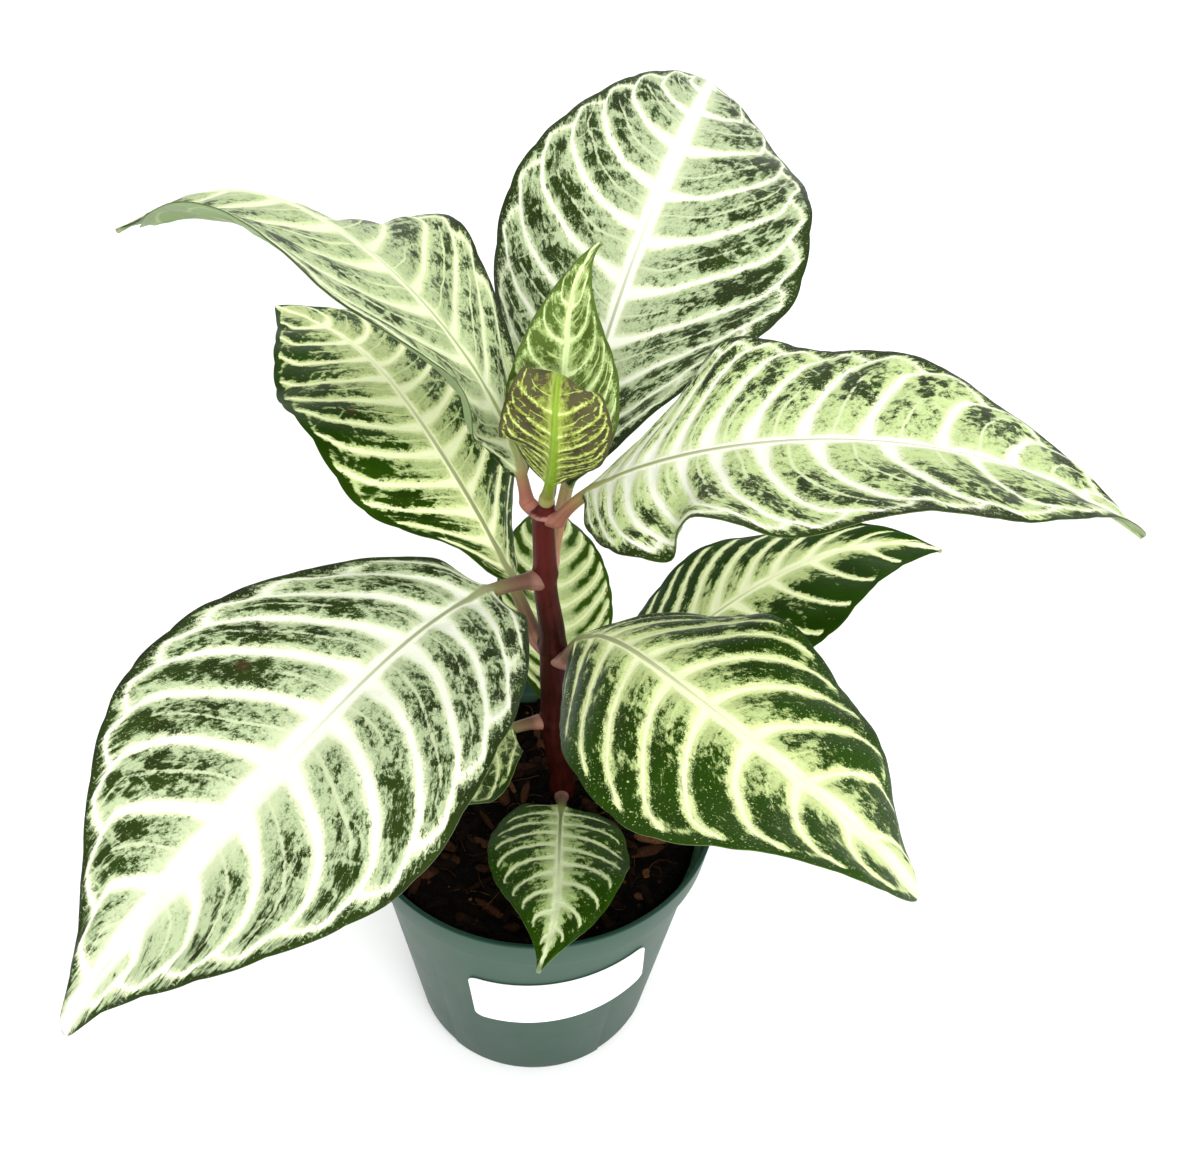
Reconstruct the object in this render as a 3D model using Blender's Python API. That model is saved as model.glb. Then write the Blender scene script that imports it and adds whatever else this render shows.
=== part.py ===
# A potted zebra plant: twelve leaves in crossed pairs on one stem, in a small nursery pot.
#
# Metres, +Z up. The origin is the middle of the pot's foot, on the surface that it stands on,
# and the front of the plant, with the pot's label, faces -Y.
# Angles are in degrees: a heading of 0 is +X and 90 is +Y, and a climb of 90 is straight up.

import math
import random

import bmesh
import bpy
from mathutils import Vector, noise

MM = 0.001
GAP = 0.3 * MM  # between pieces that touch
MERGE_DISTANCE = 0.01 * MM

# Pot
POT_HEIGHT = 96 * MM
POT_RIM_RADIUS = 55.8 * MM
POT_BAND_RADIUS = 54.4 * MM  # outside of the rim's band, at its lower edge
POT_BAND_HEIGHT = 12 * MM
POT_BAND_SLOPE = 0.8 * MM  # rise of the band's underside
POT_SHOULDER_RADIUS = 52 * MM  # outside of the wall, where the band begins
POT_FOOT_RADIUS = 39.6 * MM
POT_WALL = 1.5 * MM
POT_FLOOR = 2 * MM
POT_FOOT_BEVEL = 1.2 * MM
POT_FLOOR_BEVEL = 1.5 * MM
POT_LIP_BEVEL = (0.3 * MM, 1 * MM)  # inward, downward
POT_SEGMENTS = 64
NOTCH_HEIGHT = 2.6 * MM  # drain notches, cut through the foot's edge
NOTCH_INNER_RADIUS = 33 * MM
NOTCH_WIDTH = 26  # degrees round the foot
NOTCH_STEPS = 5
NOTCH_HEADINGS = (-140, -40, 40, 140)
CUTTER_REACH = 4 * MM  # how far a cutter stands out past the wall
CUTTER_DROP = 1 * MM

# Label
LABEL_WIDTH = 57 * MM
LABEL_HEIGHT = 27 * MM
LABEL_CORNER = 3 * MM
LABEL_THICKNESS = 0.3 * MM
LABEL_MIDDLE_HEIGHT = 54.5 * MM
LABEL_HEADING = -76
LABEL_TILT = 6
LABEL_CORNER_STEPS = 3
LABEL_COLUMNS = 16
LABEL_ROWS = 3

# Soil
SOIL_LEVEL = 86 * MM
SOIL_EDGE_DROP = 2.4 * MM  # keeps the soil's edge just under the shoulder inside the wall
SOIL_RELIEF = ((1.3 * MM, 90), (0.8 * MM, 240))  # height, lumps to a metre
SOIL_RINGS = 7
HOLE_CLEARANCE = 0.4 * MM
HOLE_LIP = 0.5 * MM
CHIP_COUNT = 28
CHIP_SEED = 7
CHIP_REACH = (15 * MM, 44 * MM)  # how near and how far from the middle the chips lie
CHIP_LENGTH = (6, 15)  # mm, smallest and largest
CHIP_WIDTH = (2.5, 5)
CHIP_THICKNESS = (1.6, 2.6)
CHIP_SLOPE = 14
CHIP_OUTLINE = ((-1, 0.45), (-0.55, 1), (0.5, 0.9), (1, 0.35))  # place along, share of the width
CHIP_TOP = 0.75  # share of the width that is left on the upper side
CHIP_LIFT = 0.3 * MM
CHIP_STEM_CLEARANCE = 3 * MM

# Stem: where each node stands in mm, and the stem's radius there, from the root up
STEM_NODES = {
    "root": dict(at=(7.5, 9.5, 64), radius=3.6),
    "sixth": dict(at=(7.1, 9.5, 90), radius=3.7),
    "fifth": dict(at=(3.5, 9.5, 121), radius=3.8),
    "fourth": dict(at=(2.8, 9.5, 152), radius=3.8),
    "third": dict(at=(0, 9.5, 180), radius=3.3),
    "second": dict(at=(-0.9, 9.5, 200), radius=3.0),
    "first": dict(at=(-0.5, 9.5, 207), radius=2.9),
}
STEM_SIDES = 14
STEM_RING_PLACES = (-8 * MM, -2.5 * MM, 0, 2.5 * MM)  # rings of the mesh, from each node's height
STEM_TOP_BEVEL = (0.4 * MM, 1 * MM)
NODE_SWELL = 0.5 * MM
NODE_SPREAD = 2 * MM

# Leaves, in mm. heading, climb and bank are the control values of a smooth bend from stem to
# tip. fold and curl, at the base and at the tip, tip each half up from the midrib and roll its
# edge. A wave is (height, waves along the leaf, phase), and a lobe is (side, place along,
# spread, share wider, lift), with side 1 on the leaf's right.
LEAVES = {
    "leaf_front_left": dict(
        node="third", length=165, stalk=15, stalk_radius=2.0,
        half_width=48, widest=0.45, base_round=0.57, tip_draw=1.35,
        heading=(223, 255, 231, 214), climb=(22, -9, 11, -79), bank=(-2, 2, 8, -11),
        fold=(10, 2), curl=(-9, -10), wave_left=(3, 2.7, 93), wave_right=(1, 2.4, 168)),
    "leaf_top_back": dict(
        node="third", length=178, stalk=13, stalk_radius=2.0,
        half_width=49, widest=0.43, base_round=0.73, tip_draw=0.89,
        heading=(78, 72, 65, 87), climb=(46, 44, 29, -23), bank=(82, 7, -2, -26),
        fold=(4, 1), curl=(-15, -12), wave_left=(1.6, 2.5, -51), wave_right=(3.5, 2.4, -55)),
    "leaf_top_left": dict(
        node="second", length=164, stalk=8, stalk_radius=1.8,
        half_width=50, widest=0.48, base_round=0.61, tip_draw=1.03,
        heading=(143, 143, 137, 186), climb=(79, 22, 0, -32), bank=(-11, -41, -29, 1),
        fold=(20, -6), curl=(2, -18), wave_left=(3.7, 2.5, -62), wave_right=(6.5, 2.9, -105),
        lobes=((1, 0.10, 0.13, -0.6, 0),)),
    "leaf_top_right": dict(
        node="second", length=152, stalk=14, stalk_radius=1.8,
        half_width=43, widest=0.39, base_round=1.0, tip_draw=1.05,
        heading=(-39, 16, 4, -20), climb=(63, 7, -3, -28), bank=(12, -10, 17, -2),
        fold=(11, 8), curl=(-7, -4), wave_left=(3, 2.8, 150), wave_right=(2, 3, 202),
        lobes=((1, 0.16, 0.10, 0.35, -9), (1, 0.30, 0.06, -0.06, 4))),
    "leaf_back_left": dict(
        node="fourth", length=144, stalk=17, stalk_radius=1.9,
        half_width=36, widest=0.49, base_round=0.83, tip_draw=0.81,
        heading=(144, 135, 91, 163), climb=(61, 32, -32, 6), bank=(-34, -9, 10, -13),
        fold=(3, 6), curl=(-16, -6), wave_left=(6, 2.5, 34), wave_right=(2.7, 2.5, 149)),
    "leaf_front_right": dict(
        node="fourth", length=132, stalk=14, stalk_radius=1.9,
        half_width=37, widest=0.48, base_round=0.72, tip_draw=0.97,
        heading=(-53, -66, -32, -55), climb=(67, -5, 10, -17), bank=(-13, -27, 3, 18),
        fold=(-4, 2), curl=(-23, -10), wave_left=(3.6, 2.9, 50), wave_right=(2, 2, 186)),
    "leaf_low_left": dict(
        node="fifth", length=108, stalk=8, stalk_radius=1.7,
        half_width=31, widest=0.39, base_round=0.45, tip_draw=1.0,
        heading=(204, 247, 223, 225), climb=(7, -7, -11, -29), bank=(10, -1, -26, -5),
        fold=(27, 9), curl=(8, -3), wave_left=(6, 2.7, 65), wave_right=(2, 2.5, 171)),
    "leaf_back_right": dict(
        node="fifth", length=128, stalk=12, stalk_radius=1.8,
        half_width=35, widest=0.43, base_round=0.68, tip_draw=1.01,
        heading=(22, 53, 35, 1), climb=(21, 23, 5, -12), bank=(12, 16, 22, 9),
        fold=(0, 6), curl=(-18, -6), wave_left=(2.2, 2.4, 45), wave_right=(1, 2.5, 185)),
    "leaf_low_front": dict(
        node="sixth", length=70, stalk=8, stalk_radius=1.6,
        half_width=21, widest=0.4, base_round=0.61, tip_draw=1.23,
        heading=(-88, -93, -75, -111), climb=(28, 22, 13, -13), bank=(9, 2, -2, 5),
        fold=(8, 4), curl=(-10, -8), wave_left=(4, 2.6, -70), wave_right=(3, 2.5, 96)),
    "leaf_low_back": dict(
        node="sixth", length=80, stalk=17, stalk_radius=1.6,
        half_width=19, widest=0.51, base_round=0.69, tip_draw=0.97,
        heading=(92, 103, 106, 88), climb=(58, 46, 21, -2), bank=(-2, -2, -2, -4),
        fold=(13, 6), curl=(-5, -6), wave_left=(2.6, 2.7, 17), wave_right=(1.6, 2.4, 166)),
    "leaf_young_back": dict(
        node="first", length=65, stalk=3, stalk_radius=1.3,
        half_width=15, widest=0.3, base_round=0.61, tip_draw=1.38,
        heading=(55, 86, 113, 32), climb=(70, 80, 85, 29), bank=(-2, -7, -2, 4),
        fold=(8, 6), curl=(-5, -8), wave_left=(1.1, 2.3, 23), wave_right=(1.9, 2.5, 200)),
    "leaf_young_front": dict(
        node="first", length=46, stalk=9, stalk_radius=1.5,
        half_width=14, widest=0.43, base_round=0.72, tip_draw=0.67,
        heading=(-72, -87, -96), climb=(66, 64, 59, 89, 316), bank=(27, 18, -25),
        fold=(13, 8), curl=(-4, -1), wave_left=(1.4, 2.4, 35), wave_right=(2.7, 2.5, 252)),
}
BLADE = 0.8 * MM
LARGE_LEAF = 100  # mm: leaves longer than this get the finer mesh
LARGE_MESH = dict(stalk_rows=3, blade_rows=18, columns=5)
SMALL_MESH = dict(stalk_rows=2, blade_rows=13, columns=4)
RIB_COLUMN = 0.12  # share of the half width where the rib's ridge ends
RIB_DEPTH = 0.9  # depth of the ridge below the blade, as a share of the stalk's radius
STALK_AT_TIP = 0.4  # the rib's radius at the tip, as a share of the stalk's
STALK_FLARE = 0.25  # share that the stalk widens at the stem
STALK_FLARE_LENGTH = 3  # mm
STALK_ARC = 80  # degrees from the stalk's top to its mesh's last column on each side
STALK_BLEND = 0.07  # share of the blade over which the round stalk turns into it
TOP_PAIR_REACH = 2 * MM  # how far from the stem's middle the first pair stands on its top
CURL_STEPS = 6
WAVE_SHAPE = dict(widest=0.45, base_round=1, tip_draw=1)  # how the waves rise and fade along

LOOKS = {
    "pot": dict(colour=(0.075, 0.16, 0.125), roughness=0.42),
    "label": dict(colour=(0.86, 0.86, 0.85), roughness=0.6),
    "soil": dict(colour=(0.025, 0.017, 0.012), roughness=0.95),
    "stem": dict(colour=(0.10, 0.030, 0.032), roughness=0.5),
    "leaf": dict(colour=(0.16, 0.27, 0.10), roughness=0.42),
    "bronze_leaf": dict(colour=(0.15, 0.14, 0.06), roughness=0.4),
}
SHARP_ANGLE = 40
LEAF_SHARP_ANGLE = 60


def clear_scene():
    for item in list(bpy.data.objects):
        bpy.data.objects.remove(item, do_unlink=True)


def make_material(name, look):
    material = bpy.data.materials.new(name)
    material.use_nodes = True
    shader = material.node_tree.nodes["Principled BSDF"]
    shader.inputs["Base Color"].default_value = (*look["colour"], 1)
    shader.inputs["Roughness"].default_value = look["roughness"]
    shader.inputs["Metallic"].default_value = 0
    return material


def finish_object(bm, name, look, sharp_angle=SHARP_ANGLE):
    mesh = bpy.data.meshes.new(name)
    bm.to_mesh(mesh)
    bm.free()
    mesh.shade_smooth()
    mesh.set_sharp_from_angle(angle=math.radians(sharp_angle))
    mesh.materials.append(make_material(name, LOOKS[look]))
    item = bpy.data.objects.new(name, mesh)
    bpy.context.scene.collection.objects.link(item)
    return item


def lerp(a, b, t):
    return a + (b - a) * t


def smooth_step(t):
    t = min(max(t, 0), 1)
    return t * t * (3 - 2 * t)


def bend(values, t):
    # a Bezier curve through the first and last value, drawn towards those between
    values = list(values)
    while len(values) > 1:
        values = [lerp(a, b, t) for a, b in zip(values, values[1:])]
    return values[0]


def direction(heading, climb=0):
    heading, climb = math.radians(heading), math.radians(climb)
    level = math.cos(climb)
    return Vector((level * math.cos(heading), level * math.sin(heading), math.sin(climb)))


def place_round(heading, radius, height):
    return direction(heading) * radius + Vector((0, 0, height))


def profile_radius(profile, height):
    # the radius at a height of a profile that is given from bottom to top
    for (r0, z0), (r1, z1) in zip(profile, profile[1:]):
        if z0 <= height <= z1:
            return lerp(r0, r1, (height - z0) / (z1 - z0))
    return profile[-1][0]


def closed_solid(rings, rising=None):
    # rings of points joined in order and capped at both ends; rising(i) picks a face's diagonal
    bm = bmesh.new()
    loops = [[bm.verts.new(point) for point in ring] for ring in rings]
    count = len(loops[0])
    for low, high in zip(loops, loops[1:]):
        for i in range(count):
            j = (i + 1) % count
            if rising is None:
                bm.faces.new((low[i], low[j], high[j], high[i]))
            elif rising(i):
                bm.faces.new((low[i], low[j], high[i]))
                bm.faces.new((low[j], high[j], high[i]))
            else:
                bm.faces.new((low[i], low[j], high[j]))
                bm.faces.new((low[i], high[j], high[i]))
    bm.faces.new(loops[0])
    bm.faces.new(loops[-1])
    bmesh.ops.triangulate(bm, faces=bm.faces[:])
    bmesh.ops.recalc_face_normals(bm, faces=bm.faces[:])
    return bm


def turned_solid(profile, segments):
    # a closed solid turned about +Z; the profile runs from the axis round to the axis again
    bm = bmesh.new()
    points = [bm.verts.new((radius, 0, height)) for radius, height in profile]
    edges = [bm.edges.new(pair) for pair in zip(points, points[1:])]
    bmesh.ops.spin(
        bm, geom=points + edges, cent=(0, 0, 0), axis=(0, 0, 1), angle=2 * math.pi,
        steps=segments, use_merge=True)
    bmesh.ops.remove_doubles(bm, verts=bm.verts[:], dist=MERGE_DISTANCE)
    bmesh.ops.recalc_face_normals(bm, faces=bm.faces[:])
    return bm


def join_parts(item, others, operation, solver="EXACT"):
    # one applied Boolean with a collection of helper objects, which are then removed
    helpers = bpy.data.collections.new("helpers")
    for other in others:
        helpers.objects.link(other)
    modifier = item.modifiers.new("join", "BOOLEAN")
    modifier.operation = operation
    modifier.operand_type = "COLLECTION"
    modifier.collection = helpers
    modifier.solver = solver
    bpy.context.view_layer.update()
    graph = bpy.context.evaluated_depsgraph_get()
    mesh = bpy.data.meshes.new_from_object(item.evaluated_get(graph))
    item.modifiers.clear()
    item.data = mesh
    for other in others:
        bpy.data.objects.remove(other, do_unlink=True)
    bpy.data.collections.remove(helpers)


def keep_largest_body(item):
    # fills the small pockets that a union seals, and drops loose scraps
    bm = bmesh.new()
    bm.from_mesh(item.data)
    left = set(bm.verts)
    bodies = []
    while left:
        seeds = [left.pop()]
        body = set(seeds)
        while seeds:
            vertex = seeds.pop()
            near = {edge.other_vert(vertex) for edge in vertex.link_edges} & left
            left -= near
            body |= near
            seeds += near
        bodies.append(body)
    largest = max(bodies, key=len)
    loose = [vertex for vertex in bm.verts if vertex not in largest]
    bmesh.ops.delete(bm, geom=loose, context="VERTS")
    bm.to_mesh(item.data)
    bm.free()


def pot_outside():
    shoulder = POT_HEIGHT - POT_BAND_HEIGHT
    lip_in, lip_down = POT_LIP_BEVEL
    return [
        (POT_FOOT_RADIUS - POT_FOOT_BEVEL, 0),
        (POT_FOOT_RADIUS, POT_FOOT_BEVEL),
        (POT_SHOULDER_RADIUS, shoulder),
        (POT_BAND_RADIUS, shoulder + POT_BAND_SLOPE),
        (POT_RIM_RADIUS, POT_HEIGHT - lip_down),
        (POT_RIM_RADIUS - lip_in, POT_HEIGHT),
    ]


def pot_inside():
    shoulder = POT_HEIGHT - POT_BAND_HEIGHT
    return [
        (POT_FOOT_RADIUS - POT_WALL - POT_FLOOR_BEVEL, POT_FLOOR),
        (POT_FOOT_RADIUS - POT_WALL, POT_FLOOR + POT_FLOOR_BEVEL),
        (POT_SHOULDER_RADIUS - POT_WALL, shoulder),
        (POT_BAND_RADIUS - POT_WALL, shoulder + POT_BAND_SLOPE + POT_WALL / 2),
        (POT_RIM_RADIUS - POT_WALL, POT_HEIGHT),
    ]


def make_notch_cutter(heading):
    # an arc of a ring that reaches past the foot's edge and below it
    outer, low = POT_FOOT_RADIUS + CUTTER_REACH, -CUTTER_DROP
    corners = (
        (NOTCH_INNER_RADIUS, low), (outer, low), (outer, NOTCH_HEIGHT), (NOTCH_INNER_RADIUS, NOTCH_HEIGHT))
    turns = [heading + NOTCH_WIDTH * (step / NOTCH_STEPS - 0.5) for step in range(NOTCH_STEPS + 1)]
    rings = [[place_round(turn, radius, height) for radius, height in corners] for turn in turns]
    cutter = finish_object(closed_solid(rings), "notch_cutter", "pot")
    cutter.hide_render = True
    cutter.display_type = "WIRE"
    return cutter


def make_pot():
    profile = [(0, 0)] + pot_outside() + pot_inside()[::-1] + [(0, POT_FLOOR)]
    pot = finish_object(turned_solid(profile, POT_SEGMENTS), "pot", "pot")
    join_parts(pot, [make_notch_cutter(heading) for heading in NOTCH_HEADINGS], "DIFFERENCE")


def label_columns():
    # places across the label, close together round its corners
    edge = []
    for i in range(LABEL_CORNER_STEPS + 1):
        angle = math.pi / 2 * i / LABEL_CORNER_STEPS
        edge.append(LABEL_CORNER * (1 - math.cos(angle)) - LABEL_WIDTH / 2)
    middle = [lerp(edge[-1], -edge[-1], i / LABEL_COLUMNS) for i in range(1, LABEL_COLUMNS)]
    return edge + middle + [-x for x in reversed(edge)]


def label_point(x, y, lift):
    # a point of the flat label, tilted and laid round the pot's wall
    tilt = math.radians(LABEL_TILT)
    across = x * math.cos(tilt) - y * math.sin(tilt)
    height = LABEL_MIDDLE_HEIGHT + x * math.sin(tilt) + y * math.cos(tilt)
    radius = profile_radius(pot_outside(), height)
    return place_round(LABEL_HEADING + math.degrees(across / radius), radius + lift, height)


def make_label():
    rings = []
    for x in label_columns():
        inset = max(LABEL_CORNER - (LABEL_WIDTH / 2 - abs(x)), 0)
        reach = LABEL_HEIGHT / 2 - LABEL_CORNER + math.sqrt(max(LABEL_CORNER**2 - inset**2, 0))
        column = [lerp(-reach, reach, row / LABEL_ROWS) for row in range(LABEL_ROWS + 1)]
        back = [label_point(x, y, GAP) for y in column]
        face = [label_point(x, y, GAP + LABEL_THICKNESS) for y in reversed(column)]
        rings.append(back + face)
    finish_object(closed_solid(rings), "label", "label")


def stem_at(height):
    # the stem's middle and radius at a height, read from its nodes
    nodes = list(STEM_NODES.values())
    height = min(max(height, nodes[0]["at"][2] * MM), nodes[-1]["at"][2] * MM)
    for low, high in zip(nodes, nodes[1:]):
        z0, z1 = low["at"][2] * MM, high["at"][2] * MM
        if height <= z1:
            t = smooth_step((height - z0) / (z1 - z0))
            middle = Vector(low["at"]).lerp(Vector(high["at"]), t) * MM
            middle.z = height
            return middle, lerp(low["radius"], high["radius"], t) * MM


def stem_radius(height):
    radius = stem_at(height)[1]
    for node in list(STEM_NODES.values())[1:-1]:
        away = (height - node["at"][2] * MM) / NODE_SPREAD
        radius += NODE_SWELL * math.exp(-away * away)
    return radius


def ring_round(middle, radius, sides):
    return [middle + direction(360 * i / sides) * radius for i in range(sides)]


def make_stem():
    nodes = list(STEM_NODES.values())
    bottom, top = nodes[0]["at"][2] * MM, nodes[-1]["at"][2] * MM
    bevel_in, bevel_down = STEM_TOP_BEVEL
    heights = [bottom]
    for node in nodes[1:-1]:
        heights += [node["at"][2] * MM + place for place in STEM_RING_PLACES]
    heights.append(top - bevel_down)
    rings = [ring_round(stem_at(z)[0], stem_radius(z), STEM_SIDES) for z in heights]
    rings.append(ring_round(stem_at(top)[0], stem_radius(top) - bevel_in, STEM_SIDES))
    finish_object(closed_solid(rings), "stem", "stem")


def soil_height(x, y):
    height = SOIL_LEVEL
    for layer, (relief, lumps) in enumerate(SOIL_RELIEF):
        height += relief * noise.noise(Vector((x * lumps, y * lumps, layer)))
    return height


def make_chip(index, draw):
    # a splinter of bark, half sunk in the soil's top
    near, far = CHIP_REACH
    middle = direction(draw.uniform(0, 360)) * math.sqrt(draw.uniform(near**2, far**2))
    length = draw.uniform(*CHIP_LENGTH) * MM
    width = draw.uniform(*CHIP_WIDTH) * MM
    thickness = draw.uniform(*CHIP_THICKNESS) * MM
    turn, slope = draw.uniform(0, 180), draw.uniform(-CHIP_SLOPE, CHIP_SLOPE)
    stem, stem_thickness = stem_at(SOIL_LEVEL)
    clear = stem_thickness + length / 2 + CHIP_STEM_CLEARANCE
    apart = Vector((middle.x - stem.x, middle.y - stem.y, 0))
    if apart.length < clear:
        middle = Vector((stem.x, stem.y, 0)) + apart.normalized() * clear
    middle.z = soil_height(middle.x, middle.y) + CHIP_LIFT
    along, across = direction(turn, slope), direction(turn + 90)
    up = along.cross(across)
    rings = []
    for place, share in CHIP_OUTLINE:
        spine = middle + along * place * length / 2
        corners = ((-1, -1), (1, -1), (CHIP_TOP, 1), (-CHIP_TOP, 1))
        rings.append([
            spine + across * side * share * width / 2 + up * lift * thickness / 2
            for side, lift in corners])
    return finish_object(closed_solid(rings), f"chip_{index}", "soil")


def make_soil():
    # fills the pot, with a plain hole for the stem and a rough top
    inside = [(radius - GAP, max(height, POT_FLOOR + GAP)) for radius, height in pot_inside()]
    edge_height = SOIL_LEVEL - SOIL_EDGE_DROP
    edge_radius = profile_radius(inside, edge_height)
    side = [point for point in inside if point[1] < edge_height] + [(edge_radius, edge_height)]
    root = Vector(STEM_NODES["root"]["at"]) * MM
    mouth = stem_at(SOIL_LEVEL)[0]
    hole_radius = STEM_NODES["sixth"]["radius"] * MM + NODE_SWELL + HOLE_CLEARANCE
    rings = [ring_round(Vector((0, 0, height)), radius, POT_SEGMENTS) for radius, height in side]
    outer, inner = rings[-1], ring_round(mouth, hole_radius, POT_SEGMENTS)
    for k in range(1, SOIL_RINGS + 1):
        ring = [a.lerp(b, k / (SOIL_RINGS + 1)) for a, b in zip(outer, inner)]
        for point in ring:
            point.z = soil_height(point.x, point.y)
        rings.append(ring)
    rings.append(ring_round(mouth - Vector((0, 0, HOLE_LIP)), hole_radius, POT_SEGMENTS))
    rings.append(ring_round(root - Vector((0, 0, GAP)), hole_radius, POT_SEGMENTS))
    soil = finish_object(closed_solid(rings), "soil", "soil")
    draw = random.Random(CHIP_SEED)
    chips = [make_chip(index, draw) for index in range(CHIP_COUNT)]
    join_parts(soil, chips, "UNION", "MANIFOLD")
    keep_largest_body(soil)


def blade_shape(leaf, s):
    # the share of the half width at a place along the blade
    widest = leaf["widest"]
    if s <= 0 or s >= 1:
        return 0
    if s < widest:
        return math.sin(math.pi / 2 * s / widest) ** leaf["base_round"]
    return math.cos(math.pi / 2 * (s - widest) / (1 - widest)) ** leaf["tip_draw"]


def leaf_frame(leaf, t):
    # which way the leaf runs at a share of its whole length, its right side and its upper side
    heading, climb, bank = (bend(leaf[key], t) for key in ("heading", "climb", "bank"))
    along = direction(heading, climb)
    level = direction(heading - 90)
    up = level.cross(along)
    bank = math.radians(bank)
    side = level * math.cos(bank) + up * math.sin(bank)
    return along, side, side.cross(along)


def blade_offset(leaf, s, u, side):
    # how far a point at share u of one half lies out from the midrib and above it
    width = leaf["half_width"] * blade_shape(leaf, s)
    lift = 0
    for lobe_side, place, spread, wider, raised in leaf.get("lobes", ()):
        if lobe_side == side:
            near = math.exp(-(((s - place) / spread) ** 2))
            width *= 1 + wider * near
            lift += raised * near * u**2
    fold = math.radians(lerp(*leaf["fold"], s))
    curl = math.radians(lerp(*leaf["curl"], s))
    angles = [fold + curl * u * (i + 0.5) / CURL_STEPS for i in range(CURL_STEPS)]
    out = width * u * sum(math.cos(a) for a in angles) / CURL_STEPS
    rise = width * u * sum(math.sin(a) for a in angles) / CURL_STEPS
    height, waves, phase = leaf["wave_right" if side > 0 else "wave_left"]
    ripple = math.sin(2 * math.pi * waves * s + math.radians(phase))
    rise += height * u**2 * blade_shape(WAVE_SHAPE, s) * ripple
    return out * MM, (rise + lift) * MM


def stalk_radius(leaf, t):
    # thick and a little flared at the stem, thin at the tip
    whole = leaf["length"] + leaf["stalk"]
    flare = STALK_FLARE * math.exp(-t * whole / STALK_FLARE_LENGTH)
    return leaf["stalk_radius"] * MM * (lerp(1, STALK_AT_TIP, smooth_step(t)) + flare)


def stalk_start(leaf):
    # the stalk's root, just clear of the stem's side, or for the first pair on the stem's top
    height = STEM_NODES[leaf["node"]]["at"][2] * MM
    heading, climb = leaf["heading"][0], math.radians(leaf["climb"][0])
    radius = stalk_radius(leaf, 0)
    middle = stem_at(height)[0]
    if leaf["node"] == "first":
        return middle + place_round(heading, TOP_PAIR_REACH, GAP + radius * math.cos(climb))
    return middle + direction(heading) * (stem_radius(height) + GAP + radius * math.sin(climb))


def leaf_rows(leaf, mesh):
    # rows of points from the leaf's left edge to its right, each with its frame and thickness
    whole = leaf["length"] + leaf["stalk"]
    stalk_share = leaf["stalk"] / whole
    places = [stalk_share * i / mesh["stalk_rows"] for i in range(mesh["stalk_rows"])]
    places += [lerp(stalk_share, 1, i / mesh["blade_rows"]) for i in range(mesh["blade_rows"] + 1)]
    point = stalk_start(leaf)
    previous = 0
    rows = []
    for t in places:
        for i in range(CURL_STEPS):
            step = (t - previous) / CURL_STEPS
            point = point + leaf_frame(leaf, previous + (i + 0.5) * step)[0] * step * whole * MM
        previous = t
        side, up = leaf_frame(leaf, t)[1:]
        s = (t * whole - leaf["stalk"]) / leaf["length"]
        radius, blend = stalk_radius(leaf, t), smooth_step(s / STALK_BLEND)
        points = []
        for u in leaf_columns(mesh):
            hand = 1 if u >= 0 else -1
            blade_out, blade_rise = blade_offset(leaf, max(s, 0), abs(u), hand)
            out = math.hypot(blade_out, radius * math.sin(math.radians(STALK_ARC) * abs(u)))
            points.append(point + side * hand * out + up * blade_rise * blend)
        rows.append(dict(points=points, up=up, radius=radius, blend=blend))
    return rows


def leaf_columns(mesh):
    # shares of the half width, from -1 on the left to 1 on the right
    steps = mesh["columns"] - 1
    half = [0] + [lerp(RIB_COLUMN, 1, i / steps) for i in range(steps + 1)]
    return [-u for u in reversed(half[1:])] + half


def make_leaf(name, look):
    leaf = LEAVES[name]
    mesh = LARGE_MESH if leaf["length"] > LARGE_LEAF else SMALL_MESH
    columns = leaf_columns(mesh)
    rows = leaf_rows(leaf, mesh)
    last_row, last_column = len(rows) - 1, len(columns) - 1
    rings = []
    for k, row in enumerate(rows):
        radius, blend = row["radius"], row["blend"]
        before, after = rows[max(k - 1, 0)]["points"], rows[min(k + 1, last_row)]["points"]
        top, bottom = [], []
        for j, (u, point) in enumerate(zip(columns, row["points"])):
            sideways = row["points"][min(j + 1, last_column)] - row["points"][max(j - 1, 0)]
            normal = sideways.cross(after[j] - before[j]).normalized()
            normal = row["up"].lerp(normal, blend).normalized()
            round_half = radius * math.cos(math.radians(STALK_ARC) * abs(u))
            ridge = radius * RIB_DEPTH * max(0, 1 - abs(u) / RIB_COLUMN)
            top.append(point + normal * lerp(round_half, BLADE / 2, blend))
            bottom.append(point - normal * lerp(round_half, BLADE / 2 + ridge, blend))
        rings.append(top + bottom[::-1])
    across = len(columns)

    def rising(i):
        # the same diagonal above and below, so that the two faces never cross
        if i < across:
            return i >= across // 2
        return 2 * across - 2 - i < across // 2

    finish_object(closed_solid(rings, rising), name, look, LEAF_SHARP_ANGLE)


clear_scene()
make_pot()
make_label()
make_soil()
make_stem()
for leaf_name in LEAVES:
    make_leaf(leaf_name, "bronze_leaf" if leaf_name == "leaf_young_front" else "leaf")
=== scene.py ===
import math
import random

import bpy
import numpy as np
from mathutils import Matrix, Vector, noise


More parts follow.
